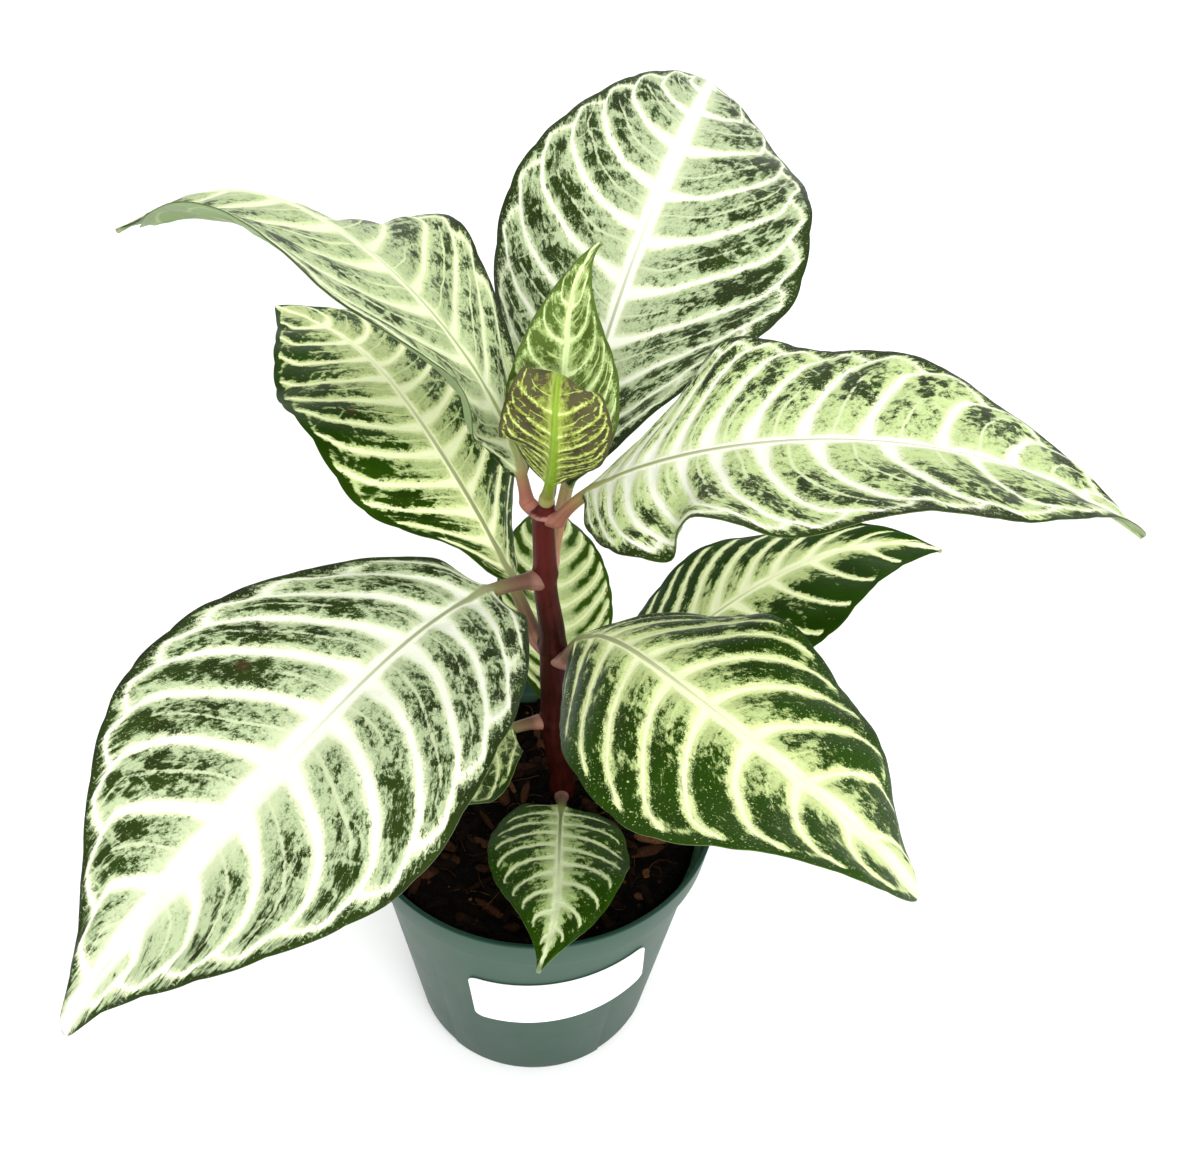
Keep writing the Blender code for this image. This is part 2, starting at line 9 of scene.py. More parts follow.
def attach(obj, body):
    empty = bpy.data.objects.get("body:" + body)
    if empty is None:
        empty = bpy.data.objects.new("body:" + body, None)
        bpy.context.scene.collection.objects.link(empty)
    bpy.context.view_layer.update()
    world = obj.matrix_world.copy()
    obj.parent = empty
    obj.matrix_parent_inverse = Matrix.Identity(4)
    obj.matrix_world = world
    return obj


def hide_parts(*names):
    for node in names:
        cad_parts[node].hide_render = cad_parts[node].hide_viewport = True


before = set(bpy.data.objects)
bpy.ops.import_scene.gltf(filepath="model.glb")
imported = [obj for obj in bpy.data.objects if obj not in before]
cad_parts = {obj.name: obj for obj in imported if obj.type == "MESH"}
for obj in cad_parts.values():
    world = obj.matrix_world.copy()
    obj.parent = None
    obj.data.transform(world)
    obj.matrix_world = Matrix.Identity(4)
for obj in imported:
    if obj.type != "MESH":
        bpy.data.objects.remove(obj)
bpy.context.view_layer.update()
mm = 0.001


# shader maths

class Wire:  # a socket of a material, so that sums on it add their Math nodes
    def __init__(self, sheet, socket):
        self.sheet = sheet
        self.socket = socket

    def __add__(self, other):
        return self.sheet.maths("ADD", self, other)

    def __radd__(self, other):
        return self.sheet.maths("ADD", other, self)

    def __sub__(self, other):
        return self.sheet.maths("SUBTRACT", self, other)

    def __rsub__(self, other):
        return self.sheet.maths("SUBTRACT", other, self)

    def __mul__(self, other):
        return self.sheet.maths("MULTIPLY", self, other)

    def __rmul__(self, other):
        return self.sheet.maths("MULTIPLY", other, self)

    def __truediv__(self, other):
        return self.sheet.maths("DIVIDE", self, other)

    def __rtruediv__(self, other):
        return self.sheet.maths("DIVIDE", other, self)

    def __pow__(self, other):
        return self.sheet.maths("POWER", self, other)

    def __rpow__(self, other):
        return self.sheet.maths("POWER", other, self)


class Sheet:  # the nodes of one material
    def __init__(self, name):
        self.material = bpy.data.materials.new(name)
        self.material.use_nodes = True
        self.tree = self.material.node_tree
        self.shader = self.tree.nodes["Principled BSDF"]

    def add(self, kind, settings, sockets, output=0):
        node = self.tree.nodes.new(kind)
        for name, value in settings.items():
            setattr(node, name, value)
        for name, value in sockets.items():
            self.feed(node.inputs[name], value)
        return Wire(self, node.outputs[output])

    def feed(self, socket, value):
        if isinstance(value, Wire):
            self.tree.links.new(value.socket, socket)
        elif socket.type == "RGBA":
            socket.default_value = (*value, 1)
        else:
            socket.default_value = value

    def finish(self, colour, roughness, height=None, depth=1.0, gloss=0.5, shine=(1, 1, 1)):
        self.feed(self.shader.inputs["Base Color"], colour)
        self.feed(self.shader.inputs["Roughness"], roughness)
        self.feed(self.shader.inputs["Specular IOR Level"], gloss)
        self.feed(self.shader.inputs["Specular Tint"], shine)
        if height is not None:
            bump = {"Strength": 1.0, "Distance": depth * mm, "Height": height}
            self.feed(self.shader.inputs["Normal"], self.add("ShaderNodeBump", {}, bump))
        return self.material

    def maths(self, operation, *values):
        return self.add("ShaderNodeMath", {"operation": operation}, dict(enumerate(values)))

    def here(self):  # the place on the piece itself, in metres
        return self.add("ShaderNodeTexCoord", {}, {}, "Object")

    def place(self, name):  # a mesh attribute, as three numbers and as a vector
        vector = self.add("ShaderNodeAttribute", {"attribute_name": name}, {}, "Vector")
        return [self.add("ShaderNodeSeparateXYZ", {}, {0: vector}, i) for i in range(3)] + [vector]

    def join(self, x, y, z=0.0):
        return self.add("ShaderNodeCombineXYZ", {}, {0: x, 1: y, 2: z})

    def noise(self, vector, size, detail=2.0, roughness=0.5):
        sockets = {"Vector": vector, "Scale": 1 / size, "Detail": detail, "Roughness": roughness}
        return self.add("ShaderNodeTexNoise", {}, sockets)

    def step(self, value, low, high):  # 0 below low and 1 above high, smooth between
        sockets = {"Value": value, "From Min": low, "From Max": high}
        return self.add("ShaderNodeMapRange", {"interpolation_type": "SMOOTHSTEP"}, sockets)

    def blend(self, factor, low, high):
        return self.add("ShaderNodeMix", {"data_type": "RGBA"}, {0: factor, 6: low, 7: high}, 2)

    def most(self, first, second):
        return self.maths("MAXIMUM", first, second)

    def nearer(self, first, second, softness):  # the smaller one, with a rounded change-over
        return self.maths("SMOOTH_MIN", first, second, softness)

    def size(self, value):
        return self.maths("ABSOLUTE", value)

    def whole(self, value):
        return self.maths("FLOOR", value)

    def fold(self, value, width):  # up and down again, from 0 to width
        return self.maths("PINGPONG", value, width)


# meshes

def newMesh(name, points, faces):
    mesh = bpy.data.meshes.new(name)
    mesh.from_pydata([tuple(p) for p in points], [], faces)
    return mesh


def addObject(name, data):
    item = bpy.data.objects.new(name, data)
    bpy.context.scene.collection.objects.link(item)
    return item


def addPiece(name, points, faces, material, replaced):
    mesh = newMesh(name, points, faces)
    mesh.validate()
    mesh.shade_smooth()
    mesh.materials.append(material)
    piece = addObject(name, mesh)
    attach(piece, "root")
    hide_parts(*replaced)
    return piece


def tagPoints(piece, name, values):  # one vector for each point, which the materials read
    attribute = piece.data.attributes.new(name, "FLOAT_VECTOR", "POINT")
    attribute.data.foreach_set("vector", np.asarray(values, np.float32).ravel())


def gridFaces(rows, columns, start=0, closed=False, flipped=False):
    faces = []
    for k in range(rows - 1):
        for i in range(columns if closed else columns - 1):
            j = (i + 1) % columns
            a, b = start + k * columns, start + (k + 1) * columns
            face = (a + i, a + j, b + j, b + i)
            faces.append(face[::-1] if flipped else face)
    return faces


def tubeMesh(rings):  # closed rings of points, capped at both ends
    rows, sides = len(rings), len(rings[0])
    faces = gridFaces(rows, sides, closed=True)
    faces.append(tuple(reversed(range(sides))))
    faces.append(tuple(range((rows - 1) * sides, rows * sides)))
    return np.concatenate(rings), faces


def lerp(a, b, t):
    return a + (b - a) * t


def smoothStep(t):
    t = np.clip(t, 0, 1)
    return t * t * (3 - 2 * t)


def direction(heading, climb=0.0):
    heading, climb = np.radians(heading), np.radians(climb)
    level = np.cos(climb)
    return np.stack([level * np.cos(heading), level * np.sin(heading), np.sin(climb) + 0 * heading], -1)


def allRound(sides):
    return np.arange(sides) * 360 / sides


def levelRing(turns, radius, height):  # in metres, from mm
    return direction(turns) * radius * mm + np.array([0, 0, height * mm])


def unit(vectors):
    return vectors / np.maximum(np.linalg.norm(vectors, axis=-1, keepdims=True), 1e-12)


# pot

potLook = {  # sizes in mm
    "height": 96, "rimRadius": 55.8, "bandRadius": 54.4, "shoulder": 84, "shoulderRadius": 52,
    "footRadius": 39.6, "wall": 1.5, "ledge": 1.6, "floor": 2, "sides": 192, "lipRound": 0.5,
    "footRound": 1.4, "notchHeadings": (-140, -40, 40, 140), "notchWidth": 26, "notchHeight": 2.6,
    "notchInner": 33,
    "colour": (0.026, 0.064, 0.042), "worn": (0.036, 0.078, 0.054), "rim": (0.006, 0.030, 0.020),
    # foot: painted shade, the darker colour the pot takes towards its bottom, where less light falls
    "foot": (0.014, 0.044, 0.028), "gloss": 0.15, "mottle": 14, "grain": 0.45, "dust": 1.1,
}


def roundCorner(profile, index, reach, steps=4):  # replaces a corner of a profile with an arc
    before, corner, after = (np.array(profile[(index + i) % len(profile)], float) for i in (-1, 0, 1))
    start = corner + unit(before - corner) * reach
    end = corner + unit(after - corner) * reach
    turns = [i / steps for i in range(steps + 1)]
    return [tuple((1 - t) ** 2 * start + 2 * t * (1 - t) * corner + t * t * end) for t in turns]


def potProfile():
    v = potLook
    corners = [
        (v["footRadius"], 0, v["footRound"]),
        (v["shoulderRadius"], v["shoulder"], 0.4),
        (v["bandRadius"], v["shoulder"] + 0.8, 0.5),
        (v["rimRadius"], v["height"], v["lipRound"]),
        (v["rimRadius"] - v["wall"], v["height"], v["lipRound"]),
        (v["bandRadius"] - v["wall"], v["shoulder"] + v["ledge"], 0.6),
        (v["shoulderRadius"] - v["wall"], v["shoulder"], 0.4),
        (v["footRadius"] - v["wall"], v["floor"], 1.5),
    ]
    flat = [(0, 0)] + [(r, z) for r, z, _ in corners] + [(0, v["floor"])]
    profile = []
    for i, (_, _, reach) in enumerate(corners):
        profile += roundCorner(flat, i + 1, reach)
    return profile


def makePotMaterial():
    v = potLook
    sheet = Sheet("potPlastic")
    place = sheet.here()
    z = sheet.add("ShaderNodeSeparateXYZ", {}, {0: place}, 2)
    mottle = sheet.noise(place, v["mottle"] * mm, 3)
    grain = sheet.noise(place, v["grain"] * mm, 2)
    dust = sheet.step(sheet.noise(place, v["dust"] * mm, 4, 0.7), 0.60, 0.72) * sheet.step(z, 0.06, 0.0)
    rim = sheet.step(z, (v["height"] - 1.2) * mm, (v["height"] - 0.2) * mm)
    colour = sheet.blend(sheet.step(mottle, 0.3, 0.75) * 0.35, v["colour"], v["worn"])
    # painted shade: the pot turns darker towards its bottom, where less light falls
    colour = sheet.blend(sheet.step(z, 0.08, 0.01) * 0.9, colour, v["foot"])
    colour = sheet.blend(rim * 0.85, colour, v["rim"])
    colour = sheet.blend(dust * 0.3, colour, v["worn"])
    roughness = 0.36 + mottle * 0.12 + dust * 0.2
    return sheet.finish(colour, roughness, grain + mottle * 1.5, 0.05, v["gloss"])


def makePot():
    v = potLook
    turns = allRound(v["sides"])
    points, faces = tubeMesh([levelRing(turns, radius, height) for radius, height in potProfile()])
    pot = addPiece("pottedPot", points, faces, makePotMaterial(), ["pot"])
    cutters = [makeNotchCutter(heading) for heading in v["notchHeadings"]]
    group = bpy.data.collections.new("notches")
    for cutter in cutters:
        group.objects.link(cutter)
    cut = pot.modifiers.new("notches", "BOOLEAN")
    cut.operand_type = "COLLECTION"
    cut.collection = group
    bpy.context.view_layer.update()
    mesh = bpy.data.meshes.new_from_object(pot.evaluated_get(bpy.context.evaluated_depsgraph_get()))
    pot.modifiers.clear()
    pot.data = mesh
    mesh.shade_smooth()
    mesh.set_sharp_from_angle(angle=math.radians(50))
    for cutter in cutters:
        bpy.data.objects.remove(cutter, do_unlink=True)
    bpy.data.collections.remove(group)


def makeNotchCutter(heading):
    v = potLook
    turns = heading + v["notchWidth"] * (np.linspace(0, 1, 13) - 0.5)
    low, high, inner, outer = -1, v["notchHeight"], v["notchInner"], v["footRadius"] + 4
    corners = ((inner, low), (outer, low), (outer, high), (inner, high))
    rings = [[levelRing(turn, radius, height) for radius, height in corners] for turn in turns]
    mesh = newMesh("notch", *tubeMesh(np.array(rings)))
    mesh.flip_normals()
    return bpy.data.objects.new("notch", mesh)


# label

labelLook = {  # sizes in mm, and degrees
    "width": 57, "height": 27, "corner": 3, "thickness": 0.3, "gap": 0.3, "middle": 54.5,
    "heading": -76, "tilt": 6, "colour": (0.90, 0.90, 0.89), "shade": (0.83, 0.84, 0.84),
}


def makeLabel():
    v = labelLook
    sheet = Sheet("labelPaper")
    place = sheet.here()
    fibre = sheet.noise(place, 0.35 * mm, 4, 0.6)
    cloud = sheet.noise(place, 9 * mm, 2)
    colour = sheet.blend(cloud * 0.25, v["colour"], v["shade"])
    material = sheet.finish(colour, 0.5 + fibre * 0.12, fibre, 0.02)
    halfWidth, halfHeight, corner = v["width"] / 2, v["height"] / 2, v["corner"]
    bends = corner * (1 - np.cos(np.linspace(0, np.pi / 2, 9)))
    straight = np.linspace(corner, v["width"] - corner, 60)[1:-1] - halfWidth
    across = np.concatenate([bends - halfWidth, straight, (halfWidth - bends)[::-1]])
    inset = np.maximum(corner - (halfWidth - np.abs(across)), 0)
    reach = halfHeight - corner + np.sqrt(np.maximum(corner ** 2 - inset ** 2, 0))
    up = np.linspace(-1, 1, 15)
    x, y = across[:, None] + 0 * up, reach[:, None] * up
    tilt = math.radians(v["tilt"])
    height = v["middle"] + x * math.sin(tilt) + y * math.cos(tilt)
    slope = (potLook["shoulderRadius"] - potLook["footRadius"]) / potLook["shoulder"]
    radius = potLook["footRadius"] + slope * height
    turn = v["heading"] + np.degrees((x * math.cos(tilt) - y * math.sin(tilt)) / radius)
    layers = []
    for lift in (v["gap"], v["gap"] + v["thickness"]):
        spot = direction(turn) * ((radius + lift) * mm)[..., None]
        spot[..., 2] = height * mm
        layers.append(spot)
    rings = np.concatenate([layers[0], layers[1][:, ::-1]], 1)
    points, faces = tubeMesh(rings)
    label = addPiece("blankLabel", points, faces, material, ["label"])
    label.data.set_sharp_from_angle(angle=math.radians(40))


# stem

stemNodes = {  # where each pair of leaves stands in mm, and the stem's radius there
    "root": ((7.5, 9.5, 64), 3.6),
    "sixth": ((7.1, 9.5, 90), 3.7),
    "fifth": ((3.5, 9.5, 121), 3.8),
    "fourth": ((2.8, 9.5, 152), 3.8),
    "third": ((0, 9.5, 180), 3.3),
    "second": ((-0.9, 9.5, 202.3), 3.0),
    "first": ((-0.5, 9.5, 207), 2.9),
}
stemLook = {
    "swell": 0.5, "spread": 2.0, "gap": 0.3, "sides": 56, "rough": 0.07, "bulge": 1.1,
    "dark": (0.013, 0.0022, 0.0014), "light": (0.036, 0.0055, 0.0040), "fresh": (0.075, 0.011, 0.0095),
    "scar": (0.34, 0.17, 0.14), "gloss": 0.10, "shine": (1.0, 0.55, 0.5),
    "freshFrom": 168, "freshTo": 200, "bulgeDown": 1.2, "bulgeReach": 2.6,
    "neck": 5.2, "neckEase": 1.4, "neckTowards": -30, "neckShift": 1.1, "neckThinner": 1.15,
    "rings": 320, "scarReach": 0.9, "scarRise": 0.16,
    "scars": {  # how far over its pair each one is, and how strong
        "sixth": (3.0, 0.2), "fifth": (3.0, 0.2), "fourth": (3.0, 0.2), "third": (3.0, 0.25),
        "second": (-0.4, 1.2)},
}


def stemAt(height):  # middle and radius, with the swelling at each pair
    heights = [at[2] for at, _ in stemNodes.values()]
    names = list(stemNodes)
    height = min(max(height, heights[0]), heights[-1])
    for low, high in zip(names, names[1:]):
        (atLow, radiusLow), (atHigh, radiusHigh) = stemNodes[low], stemNodes[high]
        if height <= atHigh[2]:
            t = smoothStep((height - atLow[2]) / (atHigh[2] - atLow[2]))
            middle = lerp(np.array(atLow, float), np.array(atHigh, float), t)
            middle[2] = height
            radius = lerp(radiusLow, radiusHigh, t)
            break
    for z in heights[1:-1]:
        radius += stemLook["swell"] * math.exp(-((height - z) / stemLook["spread"]) ** 2)
    return middle, radius


def makeStem():
    v = stemLook
    sheet = Sheet("stemBark")
    turn, height, scar, _ = sheet.place("stemPlace")
    streak = sheet.noise(sheet.join(turn * 3.0, height / 9.0), 1.0, 4, 0.6)
    fleck = sheet.noise(sheet.join(turn * 5.0, height / 1.2), 1.0, 3, 0.6)
    mottle = sheet.noise(sheet.here(), 6 * mm, 3)
    colour = sheet.blend(sheet.step(streak * 0.6 + mottle * 0.4, 0.36, 0.68), v["dark"], v["light"])
    fresh = sheet.step(height + mottle * 20, v["freshFrom"], v["freshTo"])
    colour = sheet.blend(fresh * 0.8, colour, v["fresh"])
    colour = sheet.blend(sheet.step(fleck, 0.68, 0.76) * 0.15, colour, v["scar"])
    ring = sheet.step(scar + (fleck - 0.5) * 0.4, 0.3, 0.8)
    colour = sheet.blend(ring * 0.85, colour, v["scar"])
    roughness = 0.34 + streak * 0.2
    material = sheet.finish(colour, roughness, streak + fleck * 0.4, 0.12, v["gloss"], v["shine"])
    low, top = stemNodes["root"][0][2], stemNodes["first"][0][2]
    turns = allRound(v["sides"])
    rings, tags = [], []
    for height in np.linspace(low, top, v["rings"]):
        middle, radius = stemAt(height)
        neck = smoothStep((height - top + v["neck"]) / v["neckEase"])
        middle = middle + direction(v["neckTowards"]) * v["neckShift"] * neck
        radius -= v["neckThinner"] * neck + 0.4 * smoothStep(height - top + 1)
        scar = 0.0
        for pair, (lift, share) in v["scars"].items():
            near = math.exp(-(((height - stemNodes[pair][0][2] - lift) / v["scarReach"]) ** 2))
            scar += share * near
            radius += v["scarRise"] * share * near
        bulges = []
        for leaf in leaves.values():
            if leaf["pair"] != "first":
                above = (height - stemNodes[leaf["pair"]][0][2] + v["bulgeDown"]) / v["bulgeReach"]
                bulges.append((leaf["heading"][0], v["bulge"] * math.exp(-(above ** 2))))
        ring = []
        for turn in turns:
            spot = Vector((math.cos(math.radians(turn)), math.sin(math.radians(turn)), height / 14))
            ripple = v["rough"] * (noise.noise(spot * 1.7) + 0.4 * noise.noise(spot * 6))
            ripple += sum(
                max(math.cos(math.radians(turn - heading)), 0) ** 8 * bulge for heading, bulge in bulges)
            ring.append(middle + direction(turn) * (radius + ripple))
            tags.append((turn / 57.3, height, scar * (0.6 + 0.8 * noise.noise(spot * 2.3))))
        rings.append(np.array(ring) * mm)
    points, faces = tubeMesh(rings)
    stem = addPiece("maroonStem", points, faces, material, ["stem"])
    tagPoints(stem, "stemPlace", tags)


# soil

soilLook = {  # sizes in mm
    "level": 86, "edgeDrop": 2.4, "gap": 0.3, "relief": ((1.3, 90), (0.8, 240), (0.5, 620), (0.3, 1500)),
    "rings": 96, "sides": 260, "chips": 210, "fibres": 120, "crumbs": 900, "seed": 11,
    "chipLength": (3.5, 13), "chipWidth": (1.6, 4.4), "chipThickness": (0.9, 2.4), "chipSlope": (-16, 16),
    "chipProfile": ((-1, 0.35), (-0.8, 0.75), (-0.4, 1), (0.1, 0.95), (0.6, 0.85), (0.9, 0.5), (1, 0.2)),
    "fibreLength": (5, 15), "fibreRadius": (0.09, 0.2), "crumbSize": (0.5, 1.7), "barkCrumbs": 0.35,
    "chipSides": 7, "gloss": 0.05,
    "dark": (0.0006, 0.0004, 0.0003), "brown": (0.006, 0.0028, 0.0014), "chip": (0.050, 0.019, 0.008),
    "fibre": (0.15, 0.066, 0.028),
}


def soilHeight(x, y):  # in metres, from metres
    height = soilLook["level"] * mm
    for layer, (relief, lumps) in enumerate(soilLook["relief"]):
        height += relief * mm * noise.noise(Vector((x * lumps, y * lumps, layer)))
    return height


def insideRadius(height):  # of the pot's wall
    v = potLook
    inner, foot = v["shoulderRadius"] - v["wall"], v["footRadius"] - v["wall"]
    if height < v["shoulder"]:
        return lerp(foot, inner, (height - v["floor"]) / (v["shoulder"] - v["floor"]))
    return lerp(inner, v["bandRadius"] - v["wall"], min((height - v["shoulder"]) / v["ledge"], 1))


def makeSoilMaterial():
    v = soilLook
    sheet = Sheet("peat")
    place = sheet.here()
    tone, kind, along, _ = sheet.place("soilTone")
    lump = sheet.noise(place, 3.2 * mm, 4, 0.65)
    grain = sheet.noise(place, 0.7 * mm, 4, 0.7)
    peat = sheet.blend(sheet.step(lump * 0.6 + grain * 0.4, 0.42, 0.66), v["dark"], v["brown"])
    streak = sheet.noise(sheet.join(along * 0.25, tone * 40.0), 1.0, 4, 0.6)
    bark = sheet.blend(sheet.step(streak * 0.5 + tone * 0.6, 0.45, 0.85), v["brown"], v["chip"])
    bark = sheet.blend(sheet.step(tone, 0.80, 1.0) * 0.7, bark, v["fibre"])
    bark = sheet.blend(sheet.step(grain, 0.62, 0.35) * 0.5, bark, v["dark"])
    colour = sheet.blend(kind, peat, bark)
    return sheet.finish(colour, 0.72 + grain * 0.25, lump + grain, 0.5, v["gloss"])


def chipRings(draw, middle, heading, slope, length, width, thickness):  # a splinter with blunt ends
    along, across = direction(heading, slope), direction(heading + 90)
    up = np.cross(along, across)
    rings = []
    for place, share in soilLook["chipProfile"]:
        spine = middle + along * place * length / 2 + up * draw.uniform(-0.08, 0.08) * thickness
        ring = []
        for i in range(soilLook["chipSides"]):
            turn = 2 * math.pi * i / soilLook["chipSides"]
            swell = share * draw.uniform(0.8, 1.15)
            level = across * math.cos(turn) * width / 2 * swell
            ring.append(spine + level + up * math.sin(turn) * thickness / 2 * swell)
        rings.append(np.array(ring))
    return rings


def fibreRings(draw, start, heading, length, radius):
    spot, rings, climb = np.array(start), [], draw.uniform(-10, 55)
    steps = 12
    swerve, droop = draw.uniform(-14, 14), draw.uniform(4, 11)
    for k in range(steps + 1):
        along = direction(heading, climb)
        side = direction(heading + 90)
        up = np.cross(side, along)
        thin = radius * (1 - 0.6 * k / steps)
        turns = [2 * math.pi * i / 5 for i in range(5)]
        rings.append(np.array([spot + (side * math.cos(t) - up * math.sin(t)) * thin for t in turns]))
        floor = soilHeight(spot[0], spot[1]) + radius
        spot = spot + along * length / steps
        spot[2] = max(spot[2], floor)
        heading += swerve
        climb = max(climb - droop, -30)
    return rings


def makeSoil():
    v = soilLook
    draw = random.Random(v["seed"])
    turns = allRound(v["sides"])
    edge = v["level"] - v["edgeDrop"]
    rings = []
    for height in (potLook["floor"] + v["gap"], 30, 60, edge):
        rings.append(levelRing(turns, insideRadius(height) - v["gap"], height))
    outer = rings[-1]
    for k in range(1, v["rings"]):
        ring = outer * (1 - k / v["rings"])
        ring[:, 2] = [soilHeight(x, y) for x, y, _ in ring]
        rise = smoothStep(k / 3)
        ring[:, 2] = lerp(edge * mm, ring[:, 2], rise)
        rings.append(ring)
    points, faces = tubeMesh(rings)
    pieces, tags = [(points, faces)], [(0.0, 0.0, 0.0)] * len(points)
    stem = stemAt(v["level"])[0][:2] * mm

    def spotOnSoil(reach, clear):
        while True:
            spot = direction(draw.uniform(0, 360))[:2] * reach * math.sqrt(draw.random()) * mm
            if np.linalg.norm(spot - stem) > clear:
                return np.array([spot[0], spot[1], soilHeight(*spot)])

    for _ in range(v["chips"]):
        length, width = draw.uniform(*v["chipLength"]) * mm, draw.uniform(*v["chipWidth"]) * mm
        spot = spotOnSoil(51 - length / mm / 2, 0.004 + length / 2)
        spot[2] += draw.uniform(-0.3, 0.9) * mm
        heading, slope = draw.uniform(0, 360), draw.uniform(*v["chipSlope"])
        thickness = draw.uniform(*v["chipThickness"]) * mm
        pieces.append(tubeMesh(chipRings(draw, spot, heading, slope, length, width, thickness)))
        tone = draw.random()
        rows = [i // v["chipSides"] for i in range(len(pieces[-1][0]))]
        tags += [(tone, 1.0, row * length / mm / 6) for row in rows]
    for _ in range(v["fibres"]):
        start = spotOnSoil(42, 0.006)
        heading, length = draw.uniform(0, 360), draw.uniform(*v["fibreLength"]) * mm
        radius = draw.uniform(*v["fibreRadius"]) * mm
        pieces.append(tubeMesh(fibreRings(draw, start, heading, length, radius)))
        tone = draw.uniform(0.7, 1)
        tags += [(tone, 1.0, i / 5) for i in range(len(pieces[-1][0]))]
    for _ in range(v["crumbs"]):
        size = draw.uniform(*v["crumbSize"]) * mm
        spot = spotOnSoil(50, 0.005)
        rings = []
        for place, share in ((-1, 0.25), (-0.5, 0.9), (0.3, 1), (1, 0.3)):
            ring = direction(np.arange(6) * 60.0 + draw.uniform(0, 60)) * size / 2 * share
            ring = ring * draw.uniform(0.75, 1.2)
            rings.append(spot + ring + np.array([0, 0, place * size * 0.4]))
        pieces.append(tubeMesh(rings))
        tone = draw.random()
        kind = 1.0 if draw.random() < v["barkCrumbs"] else 0.0
        tags += [(tone, kind, 0.0)] * len(pieces[-1][0])
    allPoints, allFaces, start = [], [], 0
    for points, faces in pieces:
        allPoints.append(points)
        allFaces += [tuple(start + i for i in face) for face in faces]
        start += len(points)
    soil = addPiece("barkPeat", np.concatenate(allPoints), allFaces, makeSoilMaterial(), ["soil"])
    tagPoints(soil, "soilTone", tags)


# leaves

zebraLook = {  # widths and sizes in mm on a leaf 150 mm long
    "core": (1.4, 0.6), "fringe": 0.9, "band": (2.0, 2.2), "glow": 1.6, "hazeReach": 0.30, "coverLow": 0.03,
    "coverRise": 0.66, "clumps": 0.55, "speckle": 3.1, "veinClear": 3.0, "edgeBand": 1.1,
    "loops": (2.6, 6.0), "loop": 0.9, "turn": 0.45, "turnFrom": 10.0, "round": 1.6, "net": 0.35,
    "thin": 0.35, "thinWidth": 0.55, "ribFade": 0.5, "ribNarrow": 0.4, "tipBand": 0.5, "ribWidth": 0.95,
    "puff": 0.85, "scallop": 0.6, "mottle": 0.7, "taper": 0.03, "tipRound": 1.0, "dots": 0.6,
    "lobesBack": (0, 0), "drip": 1.0, "dark": (0.0085, 0.0150, 0.0012),
    "darkWarm": (0.0125, 0.0270, 0.0010), "middle": (0.072, 0.105, 0.036), "sage": (0.185, 0.240, 0.125),
    "pale": (0.37, 0.44, 0.255), "cream": (0.57, 0.61, 0.40), "white": (0.69, 0.71, 0.60),
    "rib": (0.21, 0.24, 0.085), "stalk": (0.130, 0.066, 0.048), "foot": (0.24, 0.115, 0.092),
    "streak": (0.10, 0.032, 0.024), "under": (0.10, 0.16, 0.055), "brown": (0.038, 0.016, 0.006),
    "paleTip": (0.0, 0.0), "outside": 0.4, "shine": (0.75, 1.0, 0.45), "gloss": 0.15, "roughness": 0.33,
    "underShare": 1.0, "spots": (),
}
# colours of the lower leaves: partly their own greener tone, partly painted light, with lighter whites and
# pales that make up for the shade the upper leaves cast on them
lowGreensWithPaintedLight = {
    "dark": (0.0080, 0.0270, 0.0003), "darkWarm": (0.0115, 0.0400, 0.0004), "middle": (0.085, 0.135, 0.026),
    "sage": (0.255, 0.330, 0.125), "pale": (0.465, 0.550, 0.235), "cream": (0.66, 0.74, 0.355),
    "white": (0.84, 0.88, 0.56), "clumps": 0.6, "mottle": 0.4, "shine": (0.65, 0.95, 0.12),
}
bronzeLook = {
    "dark": (0.046, 0.036, 0.018), "darkWarm": (0.066, 0.055, 0.024), "middle": (0.100, 0.100, 0.022),
    "sage": (0.155, 0.185, 0.030), "pale": (0.24, 0.30, 0.050), "cream": (0.39, 0.46, 0.125),
    "white": (0.60, 0.68, 0.27), "rib": (0.17, 0.29, 0.006), "stalk": (0.17, 0.19, 0.030),
    "foot": (0.28, 0.25, 0.090), "streak": (0.13, 0.09, 0.025), "underShare": 0.0, "ribFade": 1.6,
    "ribNarrow": 0.9, "hazeReach": 0.20, "band": (0.8, 1.2), "glow": 6.0, "core": (0.85, 0.6),
    "fringe": 1.0, "veinClear": 2.9, "coverRise": 1.05, "clumps": 0.5, "speckle": 1.8, "net": 0.6,
    "thin": 0.7, "thinWidth": 0.8, "dots": 0.0, "edgeBand": 2.0, "loops": (3.0, 7.0), "round": 3.0,
    "puff": 1.2, "gloss": 0.25, "roughness": 0.28,
}
